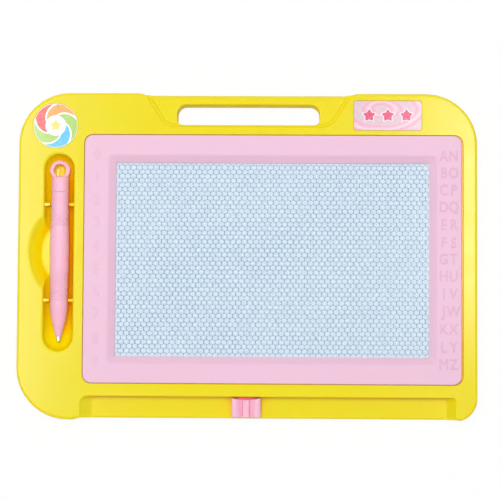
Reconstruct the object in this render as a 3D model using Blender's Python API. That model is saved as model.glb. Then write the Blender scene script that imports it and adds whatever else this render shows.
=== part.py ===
# Magnetic drawing board, lying on its back.
# Metres. +Z comes out of the drawing face, +X runs to the right and +Y to the carrying handle.
# The origin is under the middle of the board, on the surface that it lies on.

import math

import bmesh
import bpy
from mathutils import Matrix, Vector

# Fits
GAP = 0.0003                      # between pieces that touch
OVERRUN = 0.001                   # how far a cutting shape runs past what it cuts
SMALLEST_RADIUS = 0.0002

# Housing
BOARD_LENGTH = 0.320
BOARD_WIDTH = 0.228
LARGE_CORNER_RADIUS = 0.036       # three corners
SMALL_CORNER_RADIUS = 0.0165      # the corner beside the end of the slider track
WALL = 0.0022
EDGE_RADIUS = 0.0022              # rounding of the outer edges, front and back
SET_IN = 0.0012                   # the handle and the track lie this far inside the corner lobes
SET_IN_BLEND = 0.004              # length of the wave from a lobe to the set-in stretch
SET_IN_LAND = 0.0008              # from the end of the handle's recess or of the track to the wave

# Back cover
COVER_FLOOR = 0.0020
COVER_RIM = 0.0037
LIP_RISE = 0.0025                 # the lip stands inside the shell's skirt
LIP_THICKNESS = 0.0014

# Layout of the face, from the edges inwards
EDGE_TO_TRAY = 0.0184
TRAY_TO_BEZEL = 0.0075
BEZEL_TO_EDGE = 0.0110
HANDLE_BAR = 0.0066
HANDLE_SLOT_HEIGHT = 0.0142
SLOT_TO_BEZEL = 0.0075
TRACK_WIDTH = 0.0152
TRACK_TO_BEZEL = 0.0091

# Bezel
BEZEL_THICKNESS = 0.0022
BEZEL_PROUD = 0.0005
BEZEL_SIDE_FLAT = 0.0167
BEZEL_TOP_FLAT = 0.0140
BEZEL_BOTTOM_FLAT = 0.0132
BEZEL_SLOPE = 0.0052
BEZEL_CORNER_RADIUS = 0.0060
BEZEL_FLAT_CORNER_RADIUS = 0.0030
BEZEL_EDGE_RADIUS = 0.0008
BEZEL_LIP_WALL = 0.0020           # behind the slope, where the lip leaves the bezel's underside
BEZEL_LIP_EDGE = 0.0003
WINDOW_CORNER_RADIUS = 0.0010
FLANGE = 0.0016                   # the shell's shelf under the bezel

# Drawing panel
FILM = 0.0003
HONEYCOMB = 0.0016
PANEL_OVERLAP = 0.0030            # the panel's border under the flange
PANEL_CORNER_RADIUS = 0.0015
PANEL_FENCE = 0.0012              # wall that locates the panel

# Bezel clips and pegs
CLIP_WIDTH = 0.0100
CLIP_THICKNESS = 0.0014
CLIP_BARB = 0.0008
CLIP_BARB_HEIGHT = 0.0011
CLIP_FROM_EDGE = 0.0048
PEG_RADIUS = 0.0015
TOP_CLIP_SHARES = (-0.36, 0.0, 0.36)
SIDE_CLIP_SHARES = (-0.28, 0.28)
BOTTOM_PEG_SHARES = (-0.36, 0.0, 0.36)

# Handle
HANDLE_SLOT_LENGTH = 0.0997
HANDLE_SHIFT = 0.0004             # the handle's middle lies this far right of the board's
HANDLE_RECESS = 0.0030
HANDLE_SHOULDER = 0.0069          # floor of the recess beside each end of the slot
HANDLE_FLANK_RUN = 0.0130
HANDLE_FLANK_SLOPE = 0.0012
HANDLE_FLANK_RADIUS = 0.0090
HANDLE_EDGE_RADIUS = 0.0030
SLOT_TOP_RADIUS = 0.0065
SLOT_BOTTOM_RADIUS = 0.0040
SLOT_RIM_RADIUS = 0.0010
SLOT_STEP = 0.0004                # the slot reaches this far below the recess

# Slider track
TRACK_DEPTH = 0.0080
TRACK_LEFT_INSET = 0.0449         # from the board's left edge to the track
TRACK_RIGHT_INSET = 0.0152
TRACK_LEFT_SLOPE = 0.0083
TRACK_RIGHT_SLOPE = 0.0070
TRACK_LEFT_RADIUS = 0.0050        # upper edge of the left end, beside the step
TRACK_RIGHT_RADIUS = 0.0020
TRACK_FOOT_RADIUS = 0.0012
TRACK_EDGE_RADIUS = 0.0015
TRACK_END_SHARES = ((0.0, 1.0), (0.12, 0.74), (0.80, 0.16), (1.0, 0.0))   # height, slope
NECK_SILL = 0.0016                # the neck's slot lies this far above the track

# Eraser
KNOB_WIDTH = 0.0202
KNOB_RISE = 0.0083                # above the track
KNOB_VALLEY = 0.0019              # depth between the ridges
KNOB_PITCH = 0.0088               # from ridge to ridge
KNOB_STEP_ROOM = 0.0007           # from the step wall to the knob
KNOB_EDGE_ROOM = 0.0010           # from the knob to the edge of the track
KNOB_HOLLOW = 0.0014              # how far the face beside the step wall curves in
KNOB_END_ROOM = 0.0007            # left at each end of its travel
NECK_WIDTH = 0.0120
NECK_THICKNESS = 0.0018
NECK_GRIP = 0.0088                # length of the neck inside the knob
BARB_WIDTH = 0.0040
BARB_LENGTH = 0.0020
BARB_RISE = 0.0006
CARRIER_WIDTH = 0.0100
CARRIER_DEPTH = 0.0046
CARRIER_WALL_ROOM = 0.0010        # from the step wall's inside to the carrier
RISER_LENGTH = 0.0084
MAGNET_WIDTH = 0.0060
MAGNET_THICKNESS = 0.0020
MAGNET_PAST_SCREEN = 0.0030
MAGNET_PROUD = 0.0004
MAGNET_TO_PANEL = 0.0008
CARRIER_PAST_PANEL = 0.0055
RAIL_RISE = 0.0052
RAIL_THICKNESS = 0.0014
TONGUE = 0.0020                   # the tongues under the carrier, between two rails each
TONGUE_FROM_END = 0.0040
TONGUE_FLOOR_ROOM = 0.0010
RAIL_PAST_TRAVEL = 0.0030

# Screws
SCREW_SHANK_RADIUS = 0.0012
SCREW_SHANK_LENGTH = 0.0070
SCREW_POINT = 0.0012
SCREW_HEAD_RADIUS = 0.0026
SCREW_HEAD_HEIGHT = 0.0017
SCREW_HEAD_CROWN = 0.0005
SCREW_FACE_SHARE = 0.7            # the head's flat, of its radius
COUNTERBORE_DEPTH = 0.0024
COVER_BOSS_RADIUS = 0.0040
COVER_BOSS_RISE = 0.0025
SHELL_BOSS_RADIUS = 0.0033
PILOT_PAST_POINT = 0.0005
HANDLE_SCREW_FROM_FLANK = 0.0150
TRACK_SCREW_SHARE = 0.19          # of the board's length, either side of the middle

# Pen, along Y with its tip towards the track
PEN_LENGTH = 0.1273
PEN_RADIUS = 0.0068
PEN_RING_RADIUS = 0.0071
PEN_RING_HOLE = 0.00435
PEN_RING_THICKNESS = 0.0050
PEN_RING_EDGE = 0.0010
PEN_CAP_END = 0.0117              # from the ring's far edge to the cap's closed end
PEN_SEAM = 0.0224                 # from the ring's far edge to the seam
PEN_BORE_RADIUS = 0.0044
PEN_SPIGOT = 0.0080
PEN_BORE_CONE = 0.0140            # the bore narrows over this length above the tip
PEN_VENT_RADIUS = 0.0010          # small hole from the bore to the tip's seat
PEN_VENT_LENGTH = 0.0015
PEN_TIP_RADIUS = 0.0015
PEN_NOSE_WALL = 0.0005            # round the tip at the barrel's nose
PEN_TIP_OUT = 0.0038
PEN_TIP_IN = 0.0060
PEN_TIP_EDGE = 0.0004
PEN_CAP_EDGE = 0.0005
BARREL_SHARES = (                 # along the barrel from the seam; from the nose's radius to the full one
    (0.0, 0.85), (0.10, 0.86), (0.22, 0.90), (0.34, 0.98), (0.44, 1.0), (0.54, 0.985),
    (0.66, 0.925), (0.79, 0.89), (0.83, 0.82), (0.87, 0.67), (0.91, 0.48), (0.94, 0.30),
    (0.97, 0.13), (1.0, 0.0),
)

# Pen tray
TRAY_SIDE_ROOM = 0.0034           # beside the pen's widest place
TRAY_END_ROOM = 0.0050
TRAY_DEPTH = 0.0130
TRAY_RIM_RADIUS = 0.0016
TRAY_CENTRE_Y = 0.0022
PEN_SHIFT = 0.0010                # the pen's middle lies this far above the tray's
TRAY_SECTION_DEGREES = (12, 32, 52, 71, 90)
NUB_SPACING = 0.0670
NUB_BASE = 0.0030
NUB_TIP = 0.0014
NUB_BELOW_FACE = 0.0022
NUB_HEIGHT = 0.0052
NUB_RISE = 0.0010                 # the nub's top climbs this much from its tip to the wall
SCOOP_RADIUS = 0.0378
SCOOP_REACH = 0.0215              # left of the tray's middle
SCOOP_SLOPE = 0.0094
SCOOP_DEPTH = 0.0050

# Stickers
STICKER_THICKNESS = 0.0003
ROUND_STICKER_RADIUS = 0.0155
ROUND_STICKER_FROM_LEFT = 0.0257
ROUND_STICKER_FROM_TOP = 0.0232
LABEL_LENGTH = 0.0470
LABEL_HEIGHT = 0.0205
LABEL_CORNER_RADIUS = 0.0015
LABEL_FROM_RIGHT = 0.0388
LABEL_FROM_TOP = 0.0052

# Facets
CORNER_STEPS = 10
SMALL_CORNER_STEPS = 5
EDGE_STEPS = 3
BLEND_STEPS = 4
PEN_SEGMENTS = 20
SCREW_SEGMENTS = 12
STICKER_SEGMENTS = 40
TRAY_END_STEPS = 8
SCOOP_STEPS = 20
KNOB_STEPS = 24

# Heights, from the back of the cover up
RAIL_TOP_Z = COVER_FLOOR + RAIL_RISE
CARRIER_BOTTOM_Z = RAIL_TOP_Z + GAP
CARRIER_TOP_Z = CARRIER_BOTTOM_Z + CARRIER_DEPTH
MAGNET_TOP_Z = CARRIER_TOP_Z + MAGNET_PROUD
BACKING_Z = MAGNET_TOP_Z + MAGNET_TO_PANEL
HONEYCOMB_Z = BACKING_Z + FILM + GAP
FRONT_FILM_Z = HONEYCOMB_Z + HONEYCOMB + GAP
FILM_TOP_Z = FRONT_FILM_Z + FILM
FLANGE_Z = FILM_TOP_Z + GAP
FLANGE_TOP_Z = FLANGE_Z + FLANGE
BEZEL_UNDER_Z = FLANGE_TOP_Z + GAP
BEZEL_FACE_Z = BEZEL_UNDER_Z + BEZEL_THICKNESS
FACE_Z = BEZEL_FACE_Z - BEZEL_PROUD
ROOF_Z = FACE_Z - WALL
PARTING_Z = COVER_RIM + GAP
LIP_TOP_Z = COVER_RIM + LIP_RISE
HANDLE_Z = FACE_Z - HANDLE_RECESS
TRACK_Z = FACE_Z - TRACK_DEPTH
NECK_Z = TRACK_Z + NECK_SILL + GAP
NECK_TOP_Z = NECK_Z + NECK_THICKNESS
TRAY_Z = FACE_Z - TRAY_DEPTH
SCOOP_Z = FACE_Z - SCOOP_DEPTH
COVER_BOSS_Z = COVER_FLOOR + COVER_BOSS_RISE
SHELL_BOSS_Z = COVER_BOSS_Z + GAP
STICKER_Z = FACE_Z - STICKER_THICKNESS
STICKER_FLOOR_Z = STICKER_Z - GAP

# Edges of the board and places across it
LEFT, RIGHT = -BOARD_LENGTH / 2, BOARD_LENGTH / 2
BOTTOM, TOP = -BOARD_WIDTH / 2, BOARD_WIDTH / 2
TRAY_RADIUS = PEN_RADIUS + TRAY_SIDE_ROOM
TRAY_X = LEFT + EDGE_TO_TRAY + TRAY_RADIUS
TRAY_HALF = PEN_LENGTH / 2 + TRAY_END_ROOM - TRAY_RADIUS      # to the centre of a round end
PEN_TOP_Y = TRAY_CENTRE_Y + PEN_SHIFT + PEN_LENGTH / 2
PEN_Z = TRAY_Z + GAP + PEN_RADIUS
HANDLE_EDGE_Y = TOP - SET_IN
SLOT_TOP_Y = HANDLE_EDGE_Y - HANDLE_BAR
SLOT_BOTTOM_Y = SLOT_TOP_Y - HANDLE_SLOT_HEIGHT
SLOT_LEFT = HANDLE_SHIFT - HANDLE_SLOT_LENGTH / 2
SLOT_RIGHT = HANDLE_SHIFT + HANDLE_SLOT_LENGTH / 2
HANDLE_HALF = HANDLE_SLOT_LENGTH / 2 + HANDLE_SHOULDER + HANDLE_FLANK_RUN
TRACK_EDGE_Y = BOTTOM + SET_IN
STEP_Y = TRACK_EDGE_Y + TRACK_WIDTH
TRACK_LEFT = LEFT + TRACK_LEFT_INSET
TRACK_RIGHT = RIGHT - TRACK_RIGHT_INSET

# Bezel, window and panel, each as left, bottom, right, top
BEZEL = (
    TRAY_X + TRAY_RADIUS + TRAY_TO_BEZEL, STEP_Y + TRACK_TO_BEZEL,
    RIGHT - BEZEL_TO_EDGE, SLOT_BOTTOM_Y - SLOT_TO_BEZEL,
)
BEZEL_FLAT = (
    BEZEL[0] + BEZEL_SIDE_FLAT, BEZEL[1] + BEZEL_BOTTOM_FLAT,
    BEZEL[2] - BEZEL_SIDE_FLAT, BEZEL[3] - BEZEL_TOP_FLAT,
)


def grown(frame, amount):
    """A left, bottom, right, top frame moved outwards on every side."""
    return (frame[0] - amount, frame[1] - amount, frame[2] + amount, frame[3] + amount)


def middle(frame):
    return ((frame[0] + frame[2]) / 2, (frame[1] + frame[3]) / 2)


WINDOW = grown(BEZEL_FLAT, -BEZEL_SLOPE)
LIP_BOTTOM_Z = FLANGE_Z + BEZEL_LIP_EDGE
BEZEL_LIP = BEZEL_LIP_WALL + BEZEL_SLOPE * (BEZEL_UNDER_Z - LIP_BOTTOM_Z) / (BEZEL_FACE_Z - LIP_BOTTOM_Z)
OPENING = grown(WINDOW, BEZEL_LIP + GAP)          # in the shell's flange
PANEL = grown(OPENING, PANEL_OVERLAP)

# Eraser travel: the knob stops short of the foot of each end of the track
TRAVEL_LEFT = TRACK_LEFT + TRACK_LEFT_SLOPE + KNOB_END_ROOM + KNOB_WIDTH / 2
TRAVEL_RIGHT = TRACK_RIGHT - TRACK_RIGHT_SLOPE - KNOB_END_ROOM - KNOB_WIDTH / 2
CARRIER_END_Y = STEP_Y + WALL + CARRIER_WALL_ROOM
CARRIER_TOP_Y = PANEL[3] + CARRIER_PAST_PANEL
TONGUE_YS = (CARRIER_END_Y + TONGUE_FROM_END, CARRIER_TOP_Y - TONGUE_FROM_END)
MAGNET = (
    -MAGNET_WIDTH / 2, WINDOW[1] - MAGNET_PAST_SCREEN,
    MAGNET_WIDTH / 2, WINDOW[3] + MAGNET_PAST_SCREEN,
)


# Shapes


def arc(x, y, radius, start, end, steps):
    """Points along an arc with both ends, angles in degrees."""
    points = []
    for k in range(steps + 1):
        angle = math.radians(start + (end - start) * k / steps)
        points.append((x + radius * math.cos(angle), y + radius * math.sin(angle)))
    return points


def wave(x_from, x_to, y_from, y_to):
    """A smooth step from one height to another, with both ends."""
    points = []
    for k in range(BLEND_STEPS + 1):
        share = k / BLEND_STEPS
        lift = share * share * (3 - 2 * share)
        points.append((x_from + (x_to - x_from) * share, y_from + (y_to - y_from) * lift))
    return points


def rounded_frame(frame, radii, steps=SMALL_CORNER_STEPS, grow=0.0):
    """A rectangle with its own radius at bottom left, bottom right, top right and top left."""
    left, bottom, right, top = grown(frame, grow)
    bl, br, tr, tl = (max(radius + grow, SMALLEST_RADIUS) for radius in radii)
    return (
        arc(left + bl, bottom + bl, bl, 180, 270, steps)
        + arc(right - br, bottom + br, br, 270, 360, steps)
        + arc(right - tr, top - tr, tr, 0, 90, steps)
        + arc(left + tl, top - tl, tl, 90, 180, steps)
    )


def board_outline(inset=0.0):
    """The board seen from the front, with the stretches at handle and track set in."""
    left, bottom, right, top = LEFT + inset, BOTTOM + inset, RIGHT - inset, TOP - inset
    large = LARGE_CORNER_RADIUS - inset
    small = SMALL_CORNER_RADIUS - inset
    handle_land = HANDLE_HALF + HANDLE_FLANK_SLOPE + SET_IN_LAND
    handle_left, handle_right = HANDLE_SHIFT - handle_land, HANDLE_SHIFT + handle_land
    track_left, track_right = TRACK_LEFT - SET_IN_LAND, TRACK_RIGHT + SET_IN_LAND
    # the short lobe beside the track may already lie on the small corner's arc
    lobe_x = track_right + SET_IN_BLEND / 2
    turn = math.asin(max(lobe_x - (right - small), 0) / small)
    lobe_y = bottom + small * (1 - math.cos(turn))
    return (
        arc(left + large, bottom + large, large, 180, 270, CORNER_STEPS)
        + wave(track_left - SET_IN_BLEND, track_left, bottom, bottom + SET_IN)
        + wave(track_right, lobe_x, bottom + SET_IN, lobe_y)
        + arc(right - small, bottom + small, small, 270 + math.degrees(turn), 360, CORNER_STEPS)[1:]
        + arc(right - large, top - large, large, 0, 90, CORNER_STEPS)
        + wave(handle_right + SET_IN_BLEND, handle_right, top, top - SET_IN)
        + wave(handle_left, handle_left - SET_IN_BLEND, top - SET_IN, top)
        + arc(left + large, top - large, large, 90, 180, CORNER_STEPS)
    )


def handle_outline(grow=0.0):
    """The recess round the handle slot: flanks that lean out to the top edge, round feet."""
    floor_y = SLOT_BOTTOM_Y + SLOT_STEP - grow
    top_y = HANDLE_EDGE_Y + SET_IN + OVERRUN
    foot = HANDLE_SLOT_LENGTH / 2 + HANDLE_SHOULDER + grow
    lean = HANDLE_FLANK_RUN / (HANDLE_EDGE_Y - SLOT_BOTTOM_Y - SLOT_STEP)
    turn = math.degrees(math.atan2(1, lean))
    radius = HANDLE_FLANK_RADIUS + grow
    reach = radius * math.tan(math.radians(turn / 2))
    right_foot = arc(HANDLE_SHIFT + foot - reach, floor_y + radius, radius, 270, 270 + turn,
                     SMALL_CORNER_STEPS)
    top_x = HANDLE_SHIFT + foot + lean * (top_y - floor_y)
    right_side = right_foot + [(top_x, top_y)]
    left_side = [(2 * HANDLE_SHIFT - x, y) for x, y in reversed(right_side)]
    return right_side + left_side


def slot_outline(grow=0.0):
    frame = (SLOT_LEFT, SLOT_BOTTOM_Y, SLOT_RIGHT, SLOT_TOP_Y)
    radii = (SLOT_BOTTOM_RADIUS, SLOT_BOTTOM_RADIUS, SLOT_TOP_RADIUS, SLOT_TOP_RADIUS)
    return rounded_frame(frame, radii, grow=grow)


def tray_outline(radius):
    """A long hole with round ends, along Y."""
    return (
        arc(TRAY_X, TRAY_CENTRE_Y + TRAY_HALF, radius, 0, 180, TRAY_END_STEPS)
        + arc(TRAY_X, TRAY_CENTRE_Y - TRAY_HALF, radius, 180, 360, TRAY_END_STEPS)
    )


def scoop_outline(radius):
    """The part of a circle that lies left of the tray's middle."""
    centre_x = TRAY_X - SCOOP_REACH + SCOOP_RADIUS
    half = math.degrees(math.acos((centre_x - TRAY_X) / radius))
    return arc(centre_x, TRAY_CENTRE_Y, radius, 180 - half, 180 + half, SCOOP_STEPS)


def track_outline(share, grow=0.0):
    """The slider track; share 1 is the foot of its sloping ends, 0 their upper edge."""
    frame = (
        TRACK_LEFT + TRACK_LEFT_SLOPE * share, BOTTOM - OVERRUN,
        TRACK_RIGHT - TRACK_RIGHT_SLOPE * share, STEP_Y,
    )
    left, bottom, right, top = grown(frame, grow)
    foot = TRACK_FOOT_RADIUS * share + grow
    tl, tr = foot + TRACK_LEFT_RADIUS * (1 - share), foot + TRACK_RIGHT_RADIUS * (1 - share)
    return (
        [(left, bottom), (right, bottom)]
        + arc(right - tr, top - tr, tr, 0, 90, SMALL_CORNER_STEPS)
        + arc(left + tl, top - tl, tl, 90, 180, SMALL_CORNER_STEPS)
    )


def new_object(name, bm):
    bmesh.ops.recalc_face_normals(bm, faces=bm.faces)
    mesh = bpy.data.meshes.new(name)
    bm.to_mesh(mesh)
    bm.free()
    obj = bpy.data.objects.new(name, mesh)
    bpy.context.scene.collection.objects.link(obj)
    return obj


def loft(name, rings):
    """A closed solid through rings of equally many points, each an outline and its height."""
    bm = bmesh.new()
    rows = [[bm.verts.new((x, y, z)) for x, y in outline] for outline, z in rings]
    bm.faces.new(rows[0])
    bm.faces.new(rows[-1])
    for low, high in zip(rows, rows[1:]):
        for k in range(len(low)):
            after = (k + 1) % len(low)
            bm.faces.new((low[k], low[after], high[after], high[k]))
    return new_object(name, bm)


def prism(name, outline, low, high):
    return loft(name, [(outline, low), (outline, high)])


def box(name, frame, low, high):
    left, bottom, right, top = frame
    return prism(name, [(left, bottom), (right, bottom), (right, top), (left, top)], low, high)


def cylinder(name, x, y, radius, low, high, segments=SCREW_SEGMENTS):
    points = arc(x, y, radius, 0, 360, segments)[:-1]
    return prism(name, points, low, high)


def turned(name, profile, segments):
    """A solid turned round Z from points of radius and height.

    The profile ends on the axis, or it is closed and makes a ring.
    """
    bm = bmesh.new()
    verts = [bm.verts.new((radius, 0, height)) for radius, height in profile]
    edges = [bm.edges.new(pair) for pair in zip(verts, verts[1:])]
    if profile[0][0]:
        edges.append(bm.edges.new((verts[-1], verts[0])))
    bmesh.ops.spin(bm, geom=verts + edges, axis=(0, 0, 1), cent=(0, 0, 0), angle=math.tau,
                   steps=segments, use_merge=True)
    bmesh.ops.remove_doubles(bm, verts=bm.verts, dist=SMALLEST_RADIUS / segments)
    return new_object(name, bm)


def across(name, profile, left, right):
    """A solid along X from points of Y and Z."""
    bm = bmesh.new()
    face = bm.faces.new([bm.verts.new((left, y, z)) for y, z in profile])
    moved = bmesh.ops.extrude_face_region(bm, geom=[face])["geom"]
    verts = [item for item in moved if isinstance(item, bmesh.types.BMVert)]
    bmesh.ops.translate(bm, verts=verts, vec=(right - left, 0, 0))
    return new_object(name, bm)


def along(name, profile, near, far):
    """A solid along Y from points of X and Z."""
    bm = bmesh.new()
    face = bm.faces.new([bm.verts.new((x, near, z)) for x, z in profile])
    moved = bmesh.ops.extrude_face_region(bm, geom=[face])["geom"]
    verts = [item for item in moved if isinstance(item, bmesh.types.BMVert)]
    bmesh.ops.translate(bm, verts=verts, vec=(0, far - near, 0))
    return new_object(name, bm)


def combine(body, tool, operation):
    """One Boolean step, applied at once; the tool is used up."""
    step = body.modifiers.new(tool.name, "BOOLEAN")
    step.operation = operation
    step.solver = "EXACT"
    step.object = tool
    graph = bpy.context.evaluated_depsgraph_get()
    result = bpy.data.meshes.new_from_object(body.evaluated_get(graph))
    before = body.data
    body.modifiers.clear()
    body.data = result
    result.name = body.name
    bpy.data.meshes.remove(before)
    bpy.data.objects.remove(tool)


def cut(body, *tools):
    for tool in tools:
        combine(body, tool, "DIFFERENCE")


def add(body, *tools):
    for tool in tools:
        combine(body, tool, "UNION")


def edge_rings(outline, edge_z, radius, up=True):
    """Rings of a rounded edge, from the side to the flat; edge_z is the flat's height."""
    rings = []
    for k in range(EDGE_STEPS + 1):
        angle = math.radians(90) * k / EDGE_STEPS
        drop = radius * (1 - math.sin(angle))
        rings.append((outline(radius * (1 - math.cos(angle))), edge_z - drop if up else edge_z + drop))
    return rings


def kept_edge(name, inner_y, edge_y, top_z, radius, low_z):
    """What stays under a recess that runs out over an edge: a flat with a rounded outer edge."""
    side = 1 if edge_y > inner_y else -1
    turn = arc(0, 0, radius, 0, 90, EDGE_STEPS)
    rim = [(edge_y - side * radius + side * y, top_z - radius + z) for y, z in turn]
    profile = [(edge_y, low_z)] + rim + [(inner_y, top_z), (inner_y, low_z)]
    return across(name, profile, LEFT, RIGHT)


def surface(name, colour, roughness, metallic=0.0):
    material = bpy.data.materials.new(name)
    material.use_nodes = True
    shader = next(n for n in material.node_tree.nodes if n.type == "BSDF_PRINCIPLED")
    shader.inputs["Base Color"].default_value = (*colour, 1.0)
    shader.inputs["Roughness"].default_value = roughness
    shader.inputs["Metallic"].default_value = metallic
    return material


def finish(obj, material, sharp_degrees=35):
    obj.data.materials.clear()
    obj.data.materials.append(material)
    obj.data.shade_smooth()
    obj.data.set_sharp_from_angle(angle=math.radians(sharp_degrees))
    return obj


def hold(obj, parent):
    """Parents a piece without moving it."""
    obj.parent = parent
    obj.matrix_parent_inverse = parent.matrix_world.inverted()


# Places that several pieces share


def screw_places():
    """X and Y of the eight screws: four corners, beside the handle, under the track."""
    inside = WALL + GAP + LIP_THICKNESS + GAP + COVER_BOSS_RADIUS
    places = []
    for side_x, side_y, radius in (
        (-1, 1, LARGE_CORNER_RADIUS), (1, 1, LARGE_CORNER_RADIUS),
        (-1, -1, LARGE_CORNER_RADIUS), (1, -1, SMALL_CORNER_RADIUS),
    ):
        reach = radius - (radius - inside) * math.sqrt(0.5)
        places.append((side_x * (RIGHT - reach), side_y * (TOP - reach)))
    handle_y = HANDLE_EDGE_Y - inside
    for side in (-1, 1):
        places.append((HANDLE_SHIFT + side * (HANDLE_HALF + HANDLE_SCREW_FROM_FLANK), handle_y))
    track_y = TRACK_EDGE_Y + inside
    for side in (-1, 1):
        places.append((side * BOARD_LENGTH * TRACK_SCREW_SHARE, track_y))
    return places


def clip_places():
    """Middle of each bezel clip, with the side that its barb points to."""
    x_mid, y_mid = middle(BEZEL)
    length, width = BEZEL[2] - BEZEL[0], BEZEL[3] - BEZEL[1]
    places = [(x_mid + length * share, BEZEL[3] - CLIP_FROM_EDGE, 0, 1) for share in TOP_CLIP_SHARES]
    for share in SIDE_CLIP_SHARES:
        places.append((BEZEL[0] + CLIP_FROM_EDGE, y_mid + width * share, -1, 0))
        places.append((BEZEL[2] - CLIP_FROM_EDGE, y_mid + width * share, 1, 0))
    return places


def peg_places():
    x_mid = middle(BEZEL)[0]
    length = BEZEL[2] - BEZEL[0]
    return [(x_mid + length * share, BEZEL[1] + CLIP_FROM_EDGE) for share in BOTTOM_PEG_SHARES]


def clip_frame(place, before, after, side_room=0.0):
    """The plan of a clip; before and after are its reach against and along its barb."""
    x, y, to_x, to_y = place
    half = CLIP_WIDTH / 2 + side_room
    if to_x:
        ends = sorted((x - to_x * before, x + to_x * after))
        return (ends[0], y - half, ends[1], y + half)
    ends = sorted((y - to_y * before, y + to_y * after))
    return (x - half, ends[0], x + half, ends[1])


def barrel_rings():
    """The pen barrel's radius and how far each lies from the ring's far edge, from the seam on."""
    nose = PEN_TIP_RADIUS + GAP + PEN_NOSE_WALL
    length = PEN_LENGTH - PEN_TIP_OUT - PEN_SEAM
    return [(nose + (PEN_RADIUS - nose) * wide, PEN_SEAM + length * share) for share, wide in BARREL_SHARES]


def pen_radius(y):
    """The barrel's radius at a place along the board."""
    reach = PEN_TOP_Y - y
    rings = barrel_rings()
    for (low_radius, low), (high_radius, high) in zip(rings, rings[1:]):
        if low <= reach <= high:
            return low_radius + (high_radius - low_radius) * (reach - low) / (high - low)
    return PEN_RADIUS


# Front shell


def tray_rings(wall, top_z):
    """The tray's hollow, or with a wall the outside of its trough."""
    rings = []
    centre_z = TRAY_Z + TRAY_RADIUS * math.cos(math.radians(TRAY_SECTION_DEGREES[0]))
    for degrees in TRAY_SECTION_DEGREES:
        angle = math.radians(degrees)
        radius = (TRAY_RADIUS + wall) * math.sin(angle)
        rings.append((tray_outline(radius), centre_z - (TRAY_RADIUS + wall) * math.cos(angle)))
    return rings + [(tray_outline(TRAY_RADIUS + wall), top_z)]


def tray_hollow():
    rings = tray_rings(0.0, FACE_Z - TRAY_RIM_RADIUS)
    for k in range(1, EDGE_STEPS + 1):
        angle = math.radians(90) * k / EDGE_STEPS
        radius = TRAY_RADIUS + TRAY_RIM_RADIUS * (1 - math.cos(angle))
        rings.append((tray_outline(radius), FACE_Z - TRAY_RIM_RADIUS * (1 - math.sin(angle))))
    rings.append((tray_outline(TRAY_RADIUS + TRAY_RIM_RADIUS), FACE_Z + OVERRUN))
    return loft("tray_hollow", rings)


def scoop_solid(name, wall, top_z):
    """The finger scoop beside the pen, or with a wall its underside."""
    foot = SCOOP_RADIUS - SCOOP_SLOPE
    rings = [
        (scoop_outline(foot + wall), SCOOP_Z - wall),
        (scoop_outline(SCOOP_RADIUS + wall), FACE_Z),
        (scoop_outline(SCOOP_RADIUS + wall), top_z),
    ]
    return loft(name, rings)


def nub(side, y):
    """One of the small wedges that keep the pen in its tray."""
    tip = TRAY_X + side * (pen_radius(y) + GAP)
    root = TRAY_X + side * (TRAY_RADIUS + WALL / 2)
    top = FACE_Z - NUB_BELOW_FACE
    bm = bmesh.new()
    corners = []
    for x, half, rise in ((tip, NUB_TIP / 2, 0.0), (root, NUB_BASE / 2, NUB_RISE)):
        corners.append([
            bm.verts.new((x, y - half, top - NUB_HEIGHT)), bm.verts.new((x, y + half, top - NUB_HEIGHT)),
            bm.verts.new((x, y + half, top + rise - NUB_RISE)),
            bm.verts.new((x, y - half, top + rise - NUB_RISE)),
        ])
    bm.faces.new(corners[0])
    bm.faces.new(corners[1])
    for k in range(4):
        after = (k + 1) % 4
        bm.faces.new((corners[0][k], corners[0][after], corners[1][after], corners[1][k]))
    return new_object("nub", bm)


def handle_hollow():
    """What is cut away over the handle bar: a shallow recess with a rounded outer edge."""
    low_z = HANDLE_Z - HANDLE_EDGE_RADIUS - OVERRUN
    hollow = loft("handle_hollow", [
        (handle_outline(), low_z), (handle_outline(), HANDLE_Z),
        (handle_outline(HANDLE_FLANK_SLOPE), FACE_Z),
        (handle_outline(HANDLE_FLANK_SLOPE), FACE_Z + OVERRUN),
    ])
    cut(hollow, kept_edge("kept", BEZEL[3], HANDLE_EDGE_Y, HANDLE_Z, HANDLE_EDGE_RADIUS,
                          low_z - OVERRUN))
    return hollow


def track_hollow():
    low_z = TRACK_Z - TRACK_EDGE_RADIUS - OVERRUN
    rings = [(track_outline(1.0), low_z)]
    rings += [(track_outline(slope), TRACK_Z + TRACK_DEPTH * height) for height, slope in TRACK_END_SHARES]
    rings.append((track_outline(0.0), FACE_Z + OVERRUN))
    hollow = loft("track_hollow", rings)
    cut(hollow, kept_edge("kept", BEZEL[1], TRACK_EDGE_Y, TRACK_Z, TRACK_EDGE_RADIUS, low_z - OVERRUN))
    return hollow


def slot_tool(low_z, high_z, rim_z, up):
    """The handle's hole with a rounded rim at rim_z."""
    flare = []
    for k in range(EDGE_STEPS + 1):
        angle = math.radians(90) * k / EDGE_STEPS
        out = SLOT_RIM_RADIUS * (1 - math.cos(angle))
        fall = SLOT_RIM_RADIUS * (1 - math.sin(angle))
        flare.append((slot_outline(out), rim_z - fall if up else rim_z + fall))
    if up:
        return loft("slot", [(slot_outline(), low_z)] + flare + [(slot_outline(SLOT_RIM_RADIUS), high_z)])
    return loft("slot", [(slot_outline(SLOT_RIM_RADIUS), low_z)] + flare[::-1] + [(slot_outline(), high_z)])


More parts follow.
